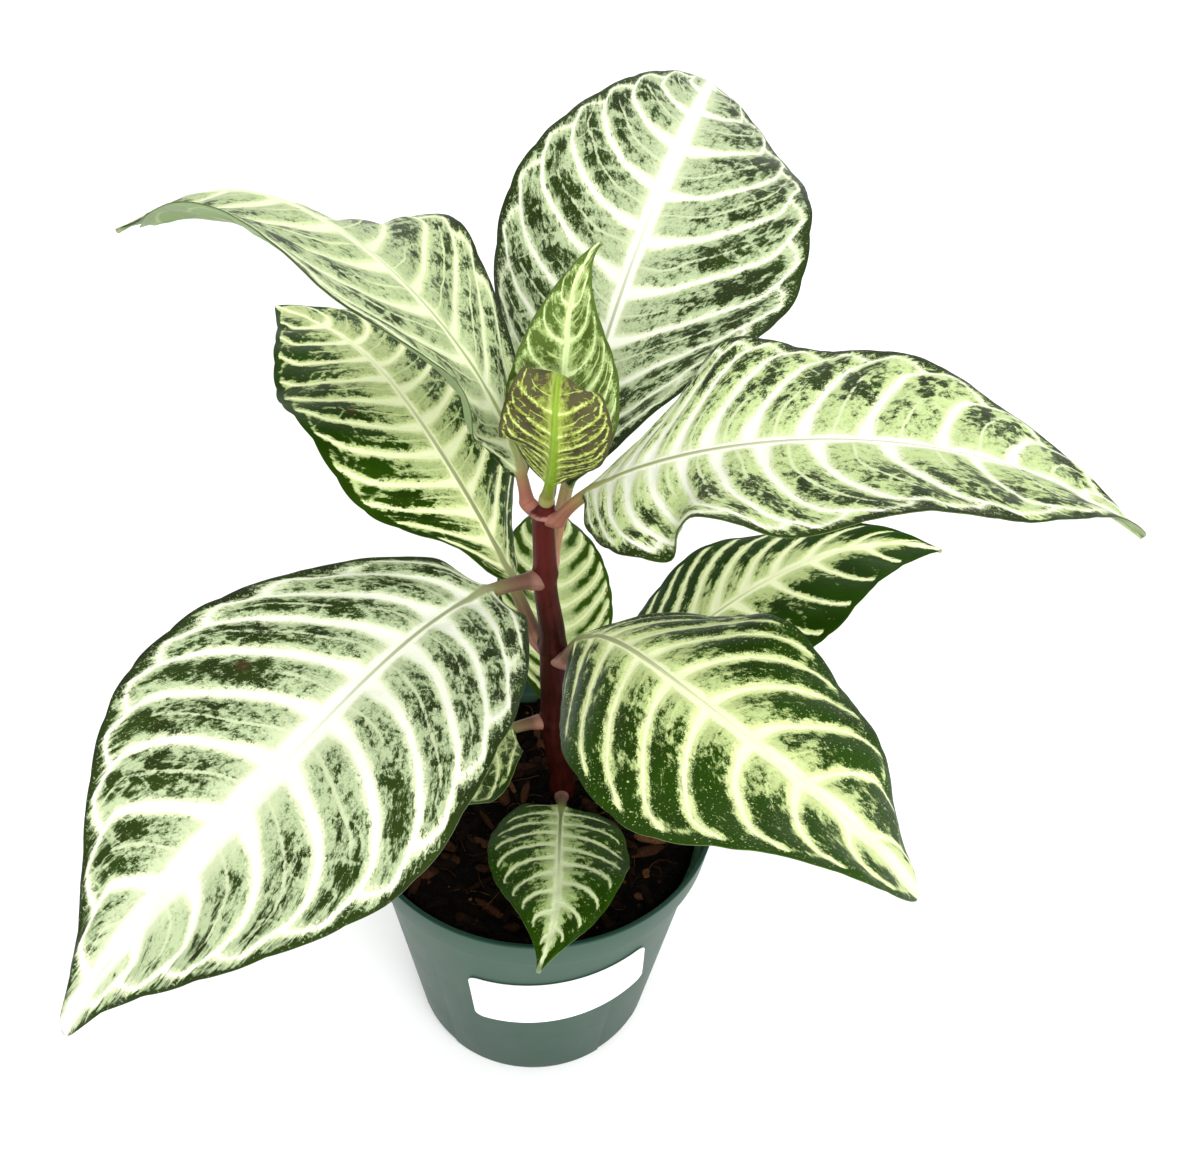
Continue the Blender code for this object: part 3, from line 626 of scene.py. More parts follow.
leaves = {  # sizes in mm, turns in degrees, waves and veins for the left half and then the right one
    "leaf_front_left": dict(
        pair="third", length=159, stalk=15, stalkRadius=2.0,
        halfWidth=47, widest=0.483, baseRound=0.63, tipDraw=1.6,
        heading=(223, 259, 231, 213), climb=(22, -3, -7, -60), bank=(6, -9, 6, 10),
        fold=(14, 9), curl=(-7, -6), waves=((3, 2.7, 93), (1, 2.4, 168)),
        veins=((0.28, 12.4, -2.0, 0.22, 1.7), (0.23, 13.2, -3.6, 0.21, 1.85)),
        look=dict(
            band=(1.7, 3.8), core=(1.9, 0.8), fringe=1.0, mottle=1.0, edgeBand=0.7, hazeReach=0.27,
            coverRise=0.64, speckle=3.7, paleTip=(0.32, 0.0), tipRound=4.9, lobesBack=(4, 6.5),
            spots=((66, 25, 2.2), (133, 25, 2.4), (137, 20, 1.2)))),
    "leaf_top_back": dict(
        pair="third", length=171, stalk=20, stalkRadius=1.9,
        halfWidth=49, widest=0.407, baseRound=0.70, tipDraw=0.89,
        heading=(78, 72, 65, 87), climb=(46, 44, 29, -23), bank=(82, 7, -2, -26),
        fold=(4, 1), curl=(-15, -12), waves=((1.6, 2.5, -51), (3.5, 2.4, -55)),
        veins=((0.95, 11.1, -0.7, 0.24, 1.55), (0.84, 13.2, -3.5, 0.18, 1.9)),
        look=dict(
            band=(2.0, 2.4), core=(1.3, 0.6), mottle=0.8, coverRise=0.62, hazeReach=0.27,
            foot=(0.40, 0.20, 0.145), stalk=(0.33, 0.17, 0.10))),
    "leaf_top_left": dict(
        pair="second", length=162.8, stalk=8, stalkRadius=1.6, knee=1.3,
        halfWidth=50, widest=0.477, baseRound=0.436, tipDraw=1.44,
        heading=(143, 161.3, 150.2, 129.6, 183.7), climb=(79, 38.5, 40.8, -41.6, -31),
        bank=(54, -94, 21, -46, -12),
        fold=(13, -35), curl=(34, 16), waves=((4.7, 2.58, -37), (3.1, 2.98, -67)),
        lobes=((1, 0.14, 0.14, -0.55, -4.2),),
        veins=((0.32, 13.1, -3.6, 0.20, 1.4), (0.0, 12.5, -3.0, 0.20, 1.8)),
        look=dict(
            band=(2.0, 1.5), core=(1.2, 0.85), fringe=1.2, edgeBand=1.0, lobesBack=(-8.4, 0),
            tipRound=1.1, taper=0.13, thin=0.8, coverRise=0.58, puff=1.1, under=(0.20, 0.29, 0.11),
            white=(0.66, 0.71, 0.47), cream=(0.53, 0.60, 0.32), pale=(0.38, 0.46, 0.235),
            rib=(0.27, 0.34, 0.10), ribWidth=1.1, stalk=(0.25, 0.098, 0.070), foot=(0.28, 0.110, 0.080),
            streak=(0.20, 0.036, 0.032))),
    "leaf_top_right": dict(
        pair="second", length=152.4, stalk=14, stalkRadius=1.6, knee=1.3,
        halfWidth=42.4, widest=0.318, baseRound=0.81, tipDraw=0.656,
        heading=(-39, 4.7, 3.7, -7.4), climb=(63, 14.6, -8.5, -33.6), bank=(-11, -26, 31.7, -12.6, 25.4),
        fold=(2, 13), curl=(-6, -2), waves=((2.3, 2.82, 186), (2.4, 2.67, 296)),
        lobes=((1, 0.22, 0.04, -0.17, -12.4), (1, 0.29, 0.08, -0.06, 12.4)),
        veins=((0.22, 2.6, 2.3, 0.144, 1.67, 8.5), (0.75, 9.3, -3.5, 0.137, 1.84, 6.2)),
        look=dict(
            band=(1.5, 1.8), core=(1.3, 0.7), thin=0.6, thinWidth=0.6, taper=0.05, tipRound=0.6,
            lobesBack=(-14, 0.4), drip=0.82, fringe=1.1, coverRise=0.60, puff=1.1, edgeBand=0.5,
            sage=(0.23, 0.30, 0.115), pale=(0.43, 0.525, 0.235), rib=(0.25, 0.27, 0.06), ribWidth=1.1,
            stalk=(0.25, 0.105, 0.068), foot=(0.28, 0.110, 0.080), streak=(0.20, 0.036, 0.032),
            spots=((80, 40, 1.6), (88, 39, 1.2)))),
    "leaf_back_left": dict(
        pair="fourth", length=140.6, stalk=17, stalkRadius=1.9,
        halfWidth=33.1, widest=0.497, baseRound=0.654, tipDraw=0.755,
        heading=(144, 138.7, 118.1, 108.1, 158.9), climb=(61, 54, -2.1, -26.6, 4.9),
        bank=(-29, 0, -6.5, -5.5, -7.6),
        fold=(-6.6, 4.6), curl=(-20.7, -6.6), waves=((3.9, 2.55, 31), (3.2, 2.34, 145)),
        veins=((0.44, 16.0, -4.2, 0.12, 1.44), (-0.4, 12.0, -2.5, 0.25, 1.6)),
        look=dict(
            lowGreensWithPaintedLight, core=(1.45, 0.75), band=(1.2, 1.3), coverRise=0.91, veinClear=2.3, mottle=0.9,
            edgeBand=1.2, thin=0.3, loop=0.55, loops=(2.4, 4.5), dots=0.0, speckle=2.7, turn=0.3,
            lobesBack=(-9.9, 0), tipRound=0.9, outside=0.35, fringe=1.1, sage=(0.28, 0.35, 0.155),
            spots=((66, -17, 1.8),))),
    "leaf_front_right": dict(
        pair="fourth", length=133.8, stalk=14, stalkRadius=1.9,
        halfWidth=36.3, widest=0.554, baseRound=0.78, tipDraw=0.546,
        heading=(-53, -78.4, -38.8, -44, -37), climb=(67, 40.5, -24.8, 20.8, -36.6),
        bank=(-32, -5, -40, 22, 37),
        fold=(-6.5, 5.6), curl=(-24, -6), waves=((3.0, 2.94, -7), (2.8, 2.18, 143)),
        veins=((-0.30, 14.9, -4.9, 0.19, 1.9), (0.02, 9.9, -0.5, 0.24, 1.7)),
        look=dict(
            lowGreensWithPaintedLight, hazeReach=0.28, core=(1.25, 0.6), band=(0.9, 2.3), tipBand=1.9, coverRise=0.85,
            coverLow=0.12, veinClear=2.9, net=0.1, thin=0.3, edgeBand=1.6, loop=0.45, loops=(3.2, 6.0),
            fringe=1.9, dots=1.0, mottle=0.6, outside=0.2, turn=0.3, lobesBack=(-6.4, 5.3))),
    "leaf_low_left": dict(
        pair="fifth", length=108, stalk=8, stalkRadius=1.7,
        halfWidth=31, widest=0.39, baseRound=0.45, tipDraw=1.0,
        heading=(204, 247, 223, 225), climb=(7, -7, -11, -29), bank=(10, -1, -26, -5),
        fold=(27, 9), curl=(8, -3), waves=((6, 2.7, 65), (2, 2.5, 171)),
        veins=((0.10, 12.0, -2.5, 0.20, 1.6), (0.45, 12.0, -2.5, 0.20, 1.6)),
        look=dict(lowGreensWithPaintedLight, hazeReach=0.34, core=(1.0, 0.6), band=(2.0, 1.9), loop=0.6)),
    "leaf_back_right": dict(
        pair="fifth", length=128, stalk=12, stalkRadius=1.8,
        halfWidth=35, widest=0.43, baseRound=0.68, tipDraw=1.01,
        heading=(22, 53, 35, 1), climb=(21, 23, 5, -12), bank=(12, 16, 22, 9),
        fold=(0, 6), curl=(-18, -6), waves=((2.2, 2.4, 45), (1, 2.5, 185)),
        veins=((-0.39, 14.2, -3.8, 0.33, 1.17), (-0.14, 12.0, -3.7, 0.09, 2.2)),
        look=dict(
            lowGreensWithPaintedLight, hazeReach=0.25, core=(1.45, 0.8), band=(1.1, 2.4), coverRise=1.0, veinClear=2.0,
            net=0.1, thin=0.2, edgeBand=1.6, loop=0.0, loops=(3.2, 6.0), turn=0.05, speckle=2.4, dots=0.0,
            gloss=0.05, roughness=0.45, fringe=1.4)),
    "leaf_low_front": dict(
        pair="sixth", length=70, stalk=8, stalkRadius=1.6,
        halfWidth=21, widest=0.4, baseRound=0.44, tipDraw=1.3,
        heading=(-88, -93, -75, -111), climb=(28, 22, 13, -13), bank=(9, 2, -2, 5),
        fold=(8, 4), curl=(-10, -8), waves=((2.0, 2.6, -70), (1.0, 2.5, 96)),
        veins=((0.22, 11.0, -1.6, 0.16, 2.0), (0.0, 12.9, -2.7, 0.20, 2.0)),
        look=dict(
            lowGreensWithPaintedLight, hazeReach=0.27, core=(1.7, 0.6), band=(2.0, 3.2), coverRise=0.95, veinClear=1.5,
            tipBand=0.3, lobesBack=(2.5, 2.5), edgeBand=3.0, loop=0.0, loops=(6.0, 6.0), turn=0.2,
            net=0.1, dots=0.9, white=(0.58, 0.64, 0.40), speckle=3.6, fringe=1.4,
            cream=(0.46, 0.53, 0.27), pale=(0.31, 0.40, 0.16), sage=(0.21, 0.29, 0.10),
            rib=(0.12, 0.15, 0.036))),
    "leaf_low_back": dict(
        pair="sixth", length=80, stalk=17, stalkRadius=1.6,
        halfWidth=19, widest=0.51, baseRound=0.69, tipDraw=0.97,
        heading=(92, 103, 106, 88), climb=(58, 46, 21, -2), bank=(-2, -2, -2, -4),
        fold=(13, 6), curl=(-5, -6), waves=((2.6, 2.7, 17), (1.6, 2.4, 166)),
        veins=((0.2, 12.9, -2.5, 0.18, 1.8), (-0.29, 12.9, -2.5, 0.18, 1.8)),
        look=dict(
            lowGreensWithPaintedLight, core=(1.4, 0.9), coverRise=0.80, veinClear=5.5, loop=0.0, dots=0.0, net=0.0,
            thin=0.0, speckle=0.6, clumps=0.3, turn=0.2, fringe=3.0, dark=(0.018, 0.050, 0.002),
            darkWarm=(0.026, 0.066, 0.003), sage=(0.17, 0.25, 0.08), pale=(0.46, 0.56, 0.25))),
    "leaf_young_back": dict(
        pair="first", length=65, stalk=3, stalkRadius=1.3, sunk=5.0,
        halfWidth=15, widest=0.3, baseRound=0.61, tipDraw=1.38,
        heading=(55, 86, 113, 32), climb=(70, 80, 85, 29), bank=(-2, -7, -2, 4),
        fold=(8, 6), curl=(-5, -8), waves=((1.1, 2.3, 23), (1.9, 2.5, 200)),
        veins=((-0.13, 10.4, -2.7, 0.14, 1.74), (0.12, 9.0, -1.2, 0.30, 1.85)),
        look=dict(
            hazeReach=0.16, core=(1.2, 0.8), band=(2.0, 1.8), mottle=1.0, loops=(2.6, 6.5), edgeBand=0.9,
            turn=0.2, net=0.5, thin=0.8, thinWidth=0.7, speckle=3.8, dark=(0.055, 0.088, 0.012),
            darkWarm=(0.070, 0.115, 0.018), white=(0.56, 0.67, 0.33), cream=(0.40, 0.50, 0.20),
            pale=(0.27, 0.36, 0.125), sage=(0.15, 0.21, 0.060), middle=(0.085, 0.13, 0.03))),
    "leaf_young_front": dict(
        pair="first", length=46, stalk=9, stalkRadius=1.5,
        halfWidth=14, widest=0.43, baseRound=0.72, tipDraw=0.67,
        heading=(-72, -87, -96), climb=(66, 64, 59, 89, 316), bank=(27, 18, -25),
        fold=(13, 8), curl=(-4, -1), waves=((1.4, 2.4, 35), (2.7, 2.5, 252)),
        veins=((-0.26, 19.0, -11.0, 0.19, 2.0), (0.27, 20.0, -11.5, 0.22, 1.5)),
        look=bronzeLook),
}
leafMesh = {  # sizes in mm
    "rowsOnFoot": 6, "rowsOnStalk": 14, "rowsOnBlade": 138, "columns": 36, "smallRowsOnBlade": 92,
    "smallColumns": 26, "pathSteps": 600, "ribTop": 0.30, "veinDepth": 0.28, "lumps": 0.32,
    "fullLength": 150, "basalReach": 0.25,
    "largeLeaf": 100, "blade": 0.34, "edge": 0.16, "ribDepth": 0.9, "stalkAtTip": 0.34, "flare": 0.25,
    "flareLength": 3, "stalkArc": 80, "stalkBlend": 0.07, "topReach": 2.0, "curlSteps": 6, "knee": 2.6,
    "sunk": 1.6, "collar": 0.12, "collarLength": 2.0,
    "clouds": ((22, 1), (4.4, 1.6), (5.5, 1.2), (14, 1)),  # size and stretch of drift, clumps, net and tone
}


def bend(values, t):  # a smooth bend through the first and last value
    values = [v + 0 * t for v in values]
    while len(values) > 1:
        values = [lerp(a, b, t) for a, b in zip(values, values[1:])]
    return values[0]


def bladeShape(s, widest, baseRound, tipDraw):
    s = np.clip(s, 0, 1)
    base = np.sin(np.pi / 2 * np.clip(s / widest, 0, 1)) ** baseRound
    tip = np.cos(np.pi / 2 * np.clip((s - widest) / (1 - widest), 0, 1)) ** tipDraw
    return np.where(s < widest, base, tip)


def leafFrame(leaf, t):
    heading, climb, bank = (bend(leaf[key], t) for key in ("heading", "climb", "bank"))
    along = direction(heading, climb)
    level = direction(heading - 90)
    up = np.cross(level, along)
    bank = np.radians(bank)[:, None]
    side = level * np.cos(bank) + up * np.sin(bank)
    return along, side, np.cross(side, along)


def stalkRadius(leaf, t):
    flare = leafMesh["flare"] * np.exp(-t * (leaf["length"] + leaf["stalk"]) / leafMesh["flareLength"])
    return leaf["stalkRadius"] * (lerp(1, leafMesh["stalkAtTip"], smoothStep(t)) + flare)


def collar(leaf, t):  # widens the stalk's foot, where it clasps the stem
    return 1 + leafMesh["collar"] * np.exp(-t * (leaf["length"] + leaf["stalk"]) / leafMesh["collarLength"])


def stalkStart(leaf):
    heading, climb = leaf["heading"][0], math.radians(leaf["climb"][0])
    radius = float(stalkRadius(leaf, np.zeros(1))[0])
    middle, stem = stemAt(stemNodes[leaf["pair"]][0][2])
    if leaf["pair"] == "first":
        lift = stemLook["gap"] + radius * math.cos(climb)
        return middle + direction(heading) * leafMesh["topReach"] + np.array([0, 0, lift])
    return middle + direction(heading) * (stem + stemLook["gap"] + radius * math.sin(climb))


def veinPhase(leaf, s, q, side):  # whole numbers lie on the side veins; also the gap between two in mm
    phases = []
    for start, count, crowding, sweep, arc, *basal in leaf["veins"]:
        swell = np.sqrt(np.sin(np.pi * np.clip(s, 0, 1)))
        origin = s - sweep * q ** arc * swell
        extra = sum(basal) * np.exp(-origin / leafMesh["basalReach"])  # more of them near the base
        phase = start + count * origin + crowding * origin ** 2 - extra
        slope = sweep * arc * q ** (arc - 1) * swell * leaf["length"] / leaf["halfWidth"]
        crowd = count + 2 * crowding * origin + extra / leafMesh["basalReach"]
        gap = leaf["length"] / np.maximum(crowd, 3) / np.sqrt(1 + slope ** 2)
        phases.append((phase, gap))
    (left, gapLeft), (right, gapRight) = phases
    return np.where(side > 0, right, left), np.where(side > 0, gapRight, gapLeft)


def bendFoot(leaf, spine, along, side, up):  # the first rows of a stalk turn down into the stem
    m = leafMesh
    start, sloping = spine[0].copy(), along[0].copy()
    knee, sunk = leaf.get("knee", m["knee"]), leaf.get("sunk", m["sunk"])
    drop = knee * (0.3 + sloping[2])
    inner = start - sloping * sunk
    if leaf["pair"] != "first":
        middle, stem = stemAt(start[2] - drop)
        inner = middle + direction(leaf["heading"][0]) * (stem - sunk)
    corner = start - sloping * knee * 0.6
    for row in range(m["rowsOnFoot"]):
        t = row / m["rowsOnFoot"]
        spine[row] = (1 - t) ** 2 * inner + 2 * t * (1 - t) * corner + t * t * start
        slope = Vector((1 - t) * (corner - inner) + t * (start - corner))
        turn = Vector(sloping).rotation_difference(slope)
        for axes in (along, side, up):
            axes[row] = turn @ Vector(axes[row])


def leafSurface(leaf, look):
    m = leafMesh
    large = leaf["length"] > m["largeLeaf"]
    whole = leaf["length"] + leaf["stalk"]
    share = leaf["stalk"] / whole
    bladeRows = m["rowsOnBlade"] if large else m["smallRowsOnBlade"]
    t = np.concatenate([
        np.zeros(m["rowsOnFoot"]), np.linspace(0, share, m["rowsOnStalk"], endpoint=False),
        np.linspace(share, 1, bladeRows)])
    half = np.linspace(0, 1, (m["columns"] if large else m["smallColumns"]) + 1) ** 1.15
    u = np.concatenate([-half[:0:-1], half])
    fine = np.linspace(0, 1, m["pathSteps"] + 1)
    steps = leafFrame(leaf, (fine[1:] + fine[:-1]) / 2)[0] * whole / m["pathSteps"]
    path = stalkStart(leaf) + np.concatenate([np.zeros((1, 3)), np.cumsum(steps, 0)])
    spine = np.stack([np.interp(t, fine, path[:, i]) for i in range(3)], -1)
    along, side, up = leafFrame(leaf, t)
    bendFoot(leaf, spine, along, side, up)
    s = ((t * whole - leaf["stalk"]) / leaf["length"])[:, None]
    q, hand = np.abs(u)[None], np.where(u >= 0, 1, -1)[None]
    onBlade = np.clip(s, 0, 1)
    width = leaf["halfWidth"] * bladeShape(onBlade, leaf["widest"], leaf["baseRound"], leaf["tipDraw"])
    width = width * lerp(0.3, 1, smoothStep(onBlade / look["taper"]))
    width = width * lerp(1, look["drip"], smoothStep((onBlade - 0.78) / 0.14))
    width = np.hypot(width, look["tipRound"] * np.sqrt(1 - onBlade ** 24) * smoothStep(s / 0.5)) + 0 * q
    lift = 0 * width
    for lobeHand, place, spread, wider, raised in leaf.get("lobes", ()):
        near = np.exp(-(((onBlade - place) / spread) ** 2)) * (hand == lobeHand)
        width = width * (1 + wider * near)
        lift = lift + raised * near * q ** 2
    margin = veinPhase(leaf, onBlade, 1.0, hand)[0]
    scallop = look["scallop"] * min(leaf["length"] / m["fullLength"], 1) * smoothStep(width / 12)
    width = width - scallop * (1 - np.abs(np.sin(np.pi * margin)) ** 0.8) * q ** 3
    fold = np.radians(lerp(*leaf["fold"], onBlade))
    curl = np.radians(lerp(*leaf["curl"], onBlade))
    angles = [fold + curl * q * (i + 0.5) / m["curlSteps"] for i in range(m["curlSteps"])]
    out = width * q * sum(np.cos(a) for a in angles) / m["curlSteps"]
    rise = width * q * sum(np.sin(a) for a in angles) / m["curlSteps"]
    for handed, (height, waves, phase) in zip((-1, 1), leaf["waves"]):
        ripple = np.sin(2 * np.pi * waves * onBlade + np.radians(phase))
        envelope = bladeShape(onBlade, 0.45, 1, 1) * (s > 0)
        rise = rise + (hand == handed) * height * q ** 2 * envelope * ripple
    radius = (stalkRadius(leaf, t) * collar(leaf, t))[:, None]
    blend = smoothStep(s / m["stalkBlend"])
    out = np.where(s > 0, out, 0)
    rounded = np.radians(m["stalkArc"]) * q
    reach = np.hypot(out, radius * np.sin(rounded)) * hand
    upward = (rise + lift) * blend
    middle = spine[:, None] + side[:, None] * reach[..., None] + up[:, None] * upward[..., None]
    left, right = look["lobesBack"]
    backward = np.where(hand > 0, right, left) * q ** 1.5 * (1 - smoothStep(s / 0.3))
    middle = middle - along[:, None] * (backward * blend)[..., None]
    sideways, forward = np.gradient(middle, axis=1), np.gradient(middle, axis=0)
    normal = unit(np.cross(sideways, forward))
    normal = unit(lerp(up[:, None] + 0 * normal, normal, blend[..., None]))
    phase, gap = veinPhase(leaf, onBlade, q, hand)
    edge = width * (1 - q)
    return dict(
        middle=middle, normal=normal, s=s + 0 * q, q=q + 0 * s, radius=radius + 0 * q, blend=blend + 0 * q,
        phase=phase, gap=gap, edge=edge, across=width * u[None], rounded=rounded + 0 * s)


def leafClouds(leaf, f):  # soft noises at the mesh points: drift of the veins, clumps of green, net, tone
    seed = leaf["length"] + leaf["halfWidth"]
    along, across = f["s"] * leaf["length"], f["across"]
    clouds = []
    for layer, (size, stretch) in enumerate(leafMesh["clouds"]):
        size = size * min(leaf["length"] / 130, 1)
        spots = np.stack([along / size, across / size / stretch, 0 * along + seed + 9.7 * layer], -1)
        soft = [noise.noise(Vector(p)) + 0.4 * noise.noise(Vector(p) * 2.1) for p in spots.reshape(-1, 3)]
        clouds.append(np.array(soft))
    return clouds


def makeLeafMesh(name, leaf, look, material):
    m = leafMesh
    scale = leaf["length"] / m["fullLength"]
    f = leafSurface(leaf, look)
    rows, columns = f["s"].shape
    drift, clump, net, tone = leafClouds(leaf, f)
    fade = f["blend"] * smoothStep(f["q"] / 0.12) * smoothStep((1 - f["q"]) / 0.18)
    fade = fade * smoothStep((1 - f["s"]) / 0.12)
    between = np.sin(np.pi * f["phase"]) ** 2
    puff = look["puff"] * np.minimum(f["gap"] / 11, 1.2) * (between ** 0.6 - 0.45) * fade
    lumps = (tone + 0.6 * clump).reshape(rows, columns)
    puff = puff + m["lumps"] * scale * lumps * f["blend"] * smoothStep(f["q"] / 0.1)
    flatHalf = lerp(m["blade"], m["edge"], f["q"] ** 8)
    roundHalf = f["radius"] * np.cos(f["rounded"])
    ribAway = np.abs(f["across"]) / np.maximum(f["radius"], 0.3)
    ribTop = m["ribTop"] * f["radius"] * np.exp(-((ribAway / 0.6) ** 2)) * (1 - smoothStep(f["s"] / 0.85))
    ribBelow = m["ribDepth"] * f["radius"] * np.exp(-((ribAway / 0.95) ** 2))
    veinBelow = m["veinDepth"] * scale * np.exp(-((np.sin(np.pi * f["phase"]) / 0.16) ** 2))
    veinBelow = veinBelow * fade * (1 - f["q"] * 0.6)
    top = lerp(roundHalf, flatHalf + ribTop + puff, f["blend"])
    bottom = lerp(roundHalf, flatHalf + ribBelow + veinBelow - puff, f["blend"])
    above = (f["middle"] + f["normal"] * top[..., None]) * mm
    below = (f["middle"] - f["normal"] * bottom[..., None]) * mm
    points = np.concatenate([above.reshape(-1, 3), below.reshape(-1, 3)])
    count = rows * columns
    faces = gridFaces(rows, columns) + gridFaces(rows, columns, count, flipped=True)
    for row in range(rows - 1):
        for column, turned in ((0, False), (columns - 1, True)):
            a, b = row * columns + column, (row + 1) * columns + column
            face = (a, b, b + count, a + count)
            faces.append(face[::-1] if turned else face)
    for row, turned in ((0, True), (rows - 1, False)):
        for column in range(columns - 1):
            a = row * columns + column
            face = (a, a + count, a + 1 + count, a + 1)
            faces.append(face if turned else face[::-1])
    slot = "young_leaf" if leaf["node"] == "leaf_young_front" else "leaf"
    piece = addPiece(name, points, faces, material, [leaf["node"]])
    keys = ("across", "s", "phase", "q", "edge", "gap")
    flat = {key: np.concatenate([f[key].ravel()] * 2) for key in keys}
    drift, clump, net, tone = (np.concatenate([cloud] * 2) for cloud in (drift, clump, net, tone))
    under = np.repeat([0.0, 1.0], count)
    tagPoints(piece, "leafPlace", np.stack([flat["across"], flat["s"] * leaf["length"], under], -1))
    tagPoints(piece, "leafVeins", np.stack([flat["phase"], flat["gap"], flat["q"]], -1))
    tagPoints(piece, "leafEdge", np.stack([flat["edge"], flat["s"], clump], -1))
    tagPoints(piece, "leafCloud", np.stack([drift, net, tone], -1))


def makeLeafMaterial(name, leaf, v):
    scale = min(leaf["length"] / leafMesh["fullLength"], 1.1)
    sheet = Sheet(name)
    step, blend, most = sheet.step, sheet.blend, sheet.most
    across, along, under, place = sheet.place("leafPlace")
    phase, gap, q, _ = sheet.place("leafVeins")
    edge, s, clump, _ = sheet.place("leafEdge")
    drift, net, tone, _ = sheet.place("leafCloud")
    fine = sheet.noise(place, 0.7, 2, 0.65)
    speck = sheet.noise(sheet.join(phase * 11 * scale, across * 0.6, under * 9), 1.5, 5, 0.8)
    rough = speck - 0.5
    ribAway = sheet.size(across)

    # white side veins with a feathered fringe, each bent over to the next one near the margin
    wander = phase + drift * 0.10 - v["turn"] * step(edge, v["turnFrom"] * scale, 0.5)
    away = sheet.fold(wander, 0.5) * gap
    core = lerp(*v["core"], q ** 0.8) * scale * (1 + tone * 0.25)
    core = core * (1 + 0.7 * step(q, 0.30, 0.06))
    part = wander - sheet.whole(wander)
    near, far = v["loops"]
    bow = lerp(near, far, part ** 1.7) * scale
    gone = step(edge + rough * 1.2, near * 0.9 * scale, near * 0.3 * scale)
    arch = sheet.size(edge - bow) + (1 - step(s, 0.05, 0.2) * v["loop"]) * 3 + step(speck, 0.60, 0.72) * 0.8
    path = sheet.nearer(away + gone * 3, arch, v["round"] * scale)
    path = path + v["round"] * scale * 0.16
    vein = step(path + (fine - 0.5) * 0.6 + rough * 0.9, core * 1.2, core * 0.6)
    ragged = core + (1.1 - 0.6 * q) * v["fringe"] * scale
    fringe = step(path + rough * 3.2 + (fine - 0.5) * 3.0, ragged, core + (ragged - core) * 0.4)

    # weaker veins between them, short ones out to the margin, and a net of fine ones
    half = 0.5 - sheet.fold(wander + drift * 0.1, 0.5)
    lot = sheet.add("ShaderNodeTexWhiteNoise", {"noise_dimensions": "1D"}, {"W": sheet.whole(wander)})
    reach = 0.35 + 0.6 * lot
    thinWide = v["thinWidth"] * scale
    thin = step(half * gap + rough * 0.9, thinWide, thinWide * 0.25) * step(q, reach + 0.12, reach - 0.1)
    ticks = step(sheet.fold(wander * 3 + drift, 0.5) * gap / 3 + rough * 0.8, 0.7 * scale, 0.2 * scale)
    outside = step(bow - edge, 0.2, 1.0) * step(s, 0.05, 0.2)
    lines = step(sheet.size(net) + rough * 0.3, 0.15, 0.02) * step(q, 0.15, 0.55)
    lines = most(most(lines, ticks * outside * 0.8), thin)

    # white band along the midrib
    wide = lerp(*v["band"], step(s, 0.12, 0.55)) * scale
    wide = wide * step(s, -0.06, 0.10) * lerp(1, v["tipBand"], step(s, 0.6, 1.0))
    band = step(ribAway + rough * 1.6, wide * 1.3, wide * 0.65)
    glow = step(ribAway + rough * 6, wide * (1 + v["glow"]), wide * 0.8)

    # dark green between the veins, in ragged clumps
    ramp = step(q, v["hazeReach"] - 0.25, v["hazeReach"] + 0.30)
    clear = step(path, core * 0.9, core + v["veinClear"] * scale)
    cover = v["coverLow"] + v["coverRise"] * ramp * (0.15 + 0.85 * clear) * (0.75 + 0.3 * q)
    cover = cover + clump * v["clumps"] * (0.3 + 0.7 * ramp) - glow * 0.35 - step(s, 0.88, 1.0) * 0.5
    cover = cover - lines * v["net"] + outside * v["outside"]
    cover = cover - step(s, 0.35, 0.9) * lerp(*v["paleTip"], step(across, -6, 6))
    cover = cover + step(edge, v["edgeBand"] * 1.8 * scale, v["edgeBand"] * 0.4 * scale) * 0.6
    cover = cover + rough * v["speckle"]
    dark = step(cover, 0.46, 0.57)

    grain = step(fine * 0.8 - cover * 0.35 + 0.2, 0.36, 0.68)
    haze = blend(1 - (1 - grain) * v["mottle"], v["sage"], v["pale"])
    haze = blend(step(cover, 0.22, 0.46) * 0.75, haze, v["middle"])
    haze = blend(thin * v["thin"], haze, v["cream"])
    haze = blend(most(fringe * 0.75, glow * 0.5), haze, v["cream"])
    deep = blend(step(tone + s * 0.5, -0.2, 0.6), v["dark"], v["darkWarm"])
    spray = step(fine - 0.12 * clear - 0.04 * ramp, 0.48, 0.54)
    deep = blend(spray * v["dots"], deep, v["pale"])
    colour = blend(dark, haze, deep)
    colour = blend(fringe * 0.45, colour, v["cream"])
    colour = blend(most(vein, band), colour, v["white"])

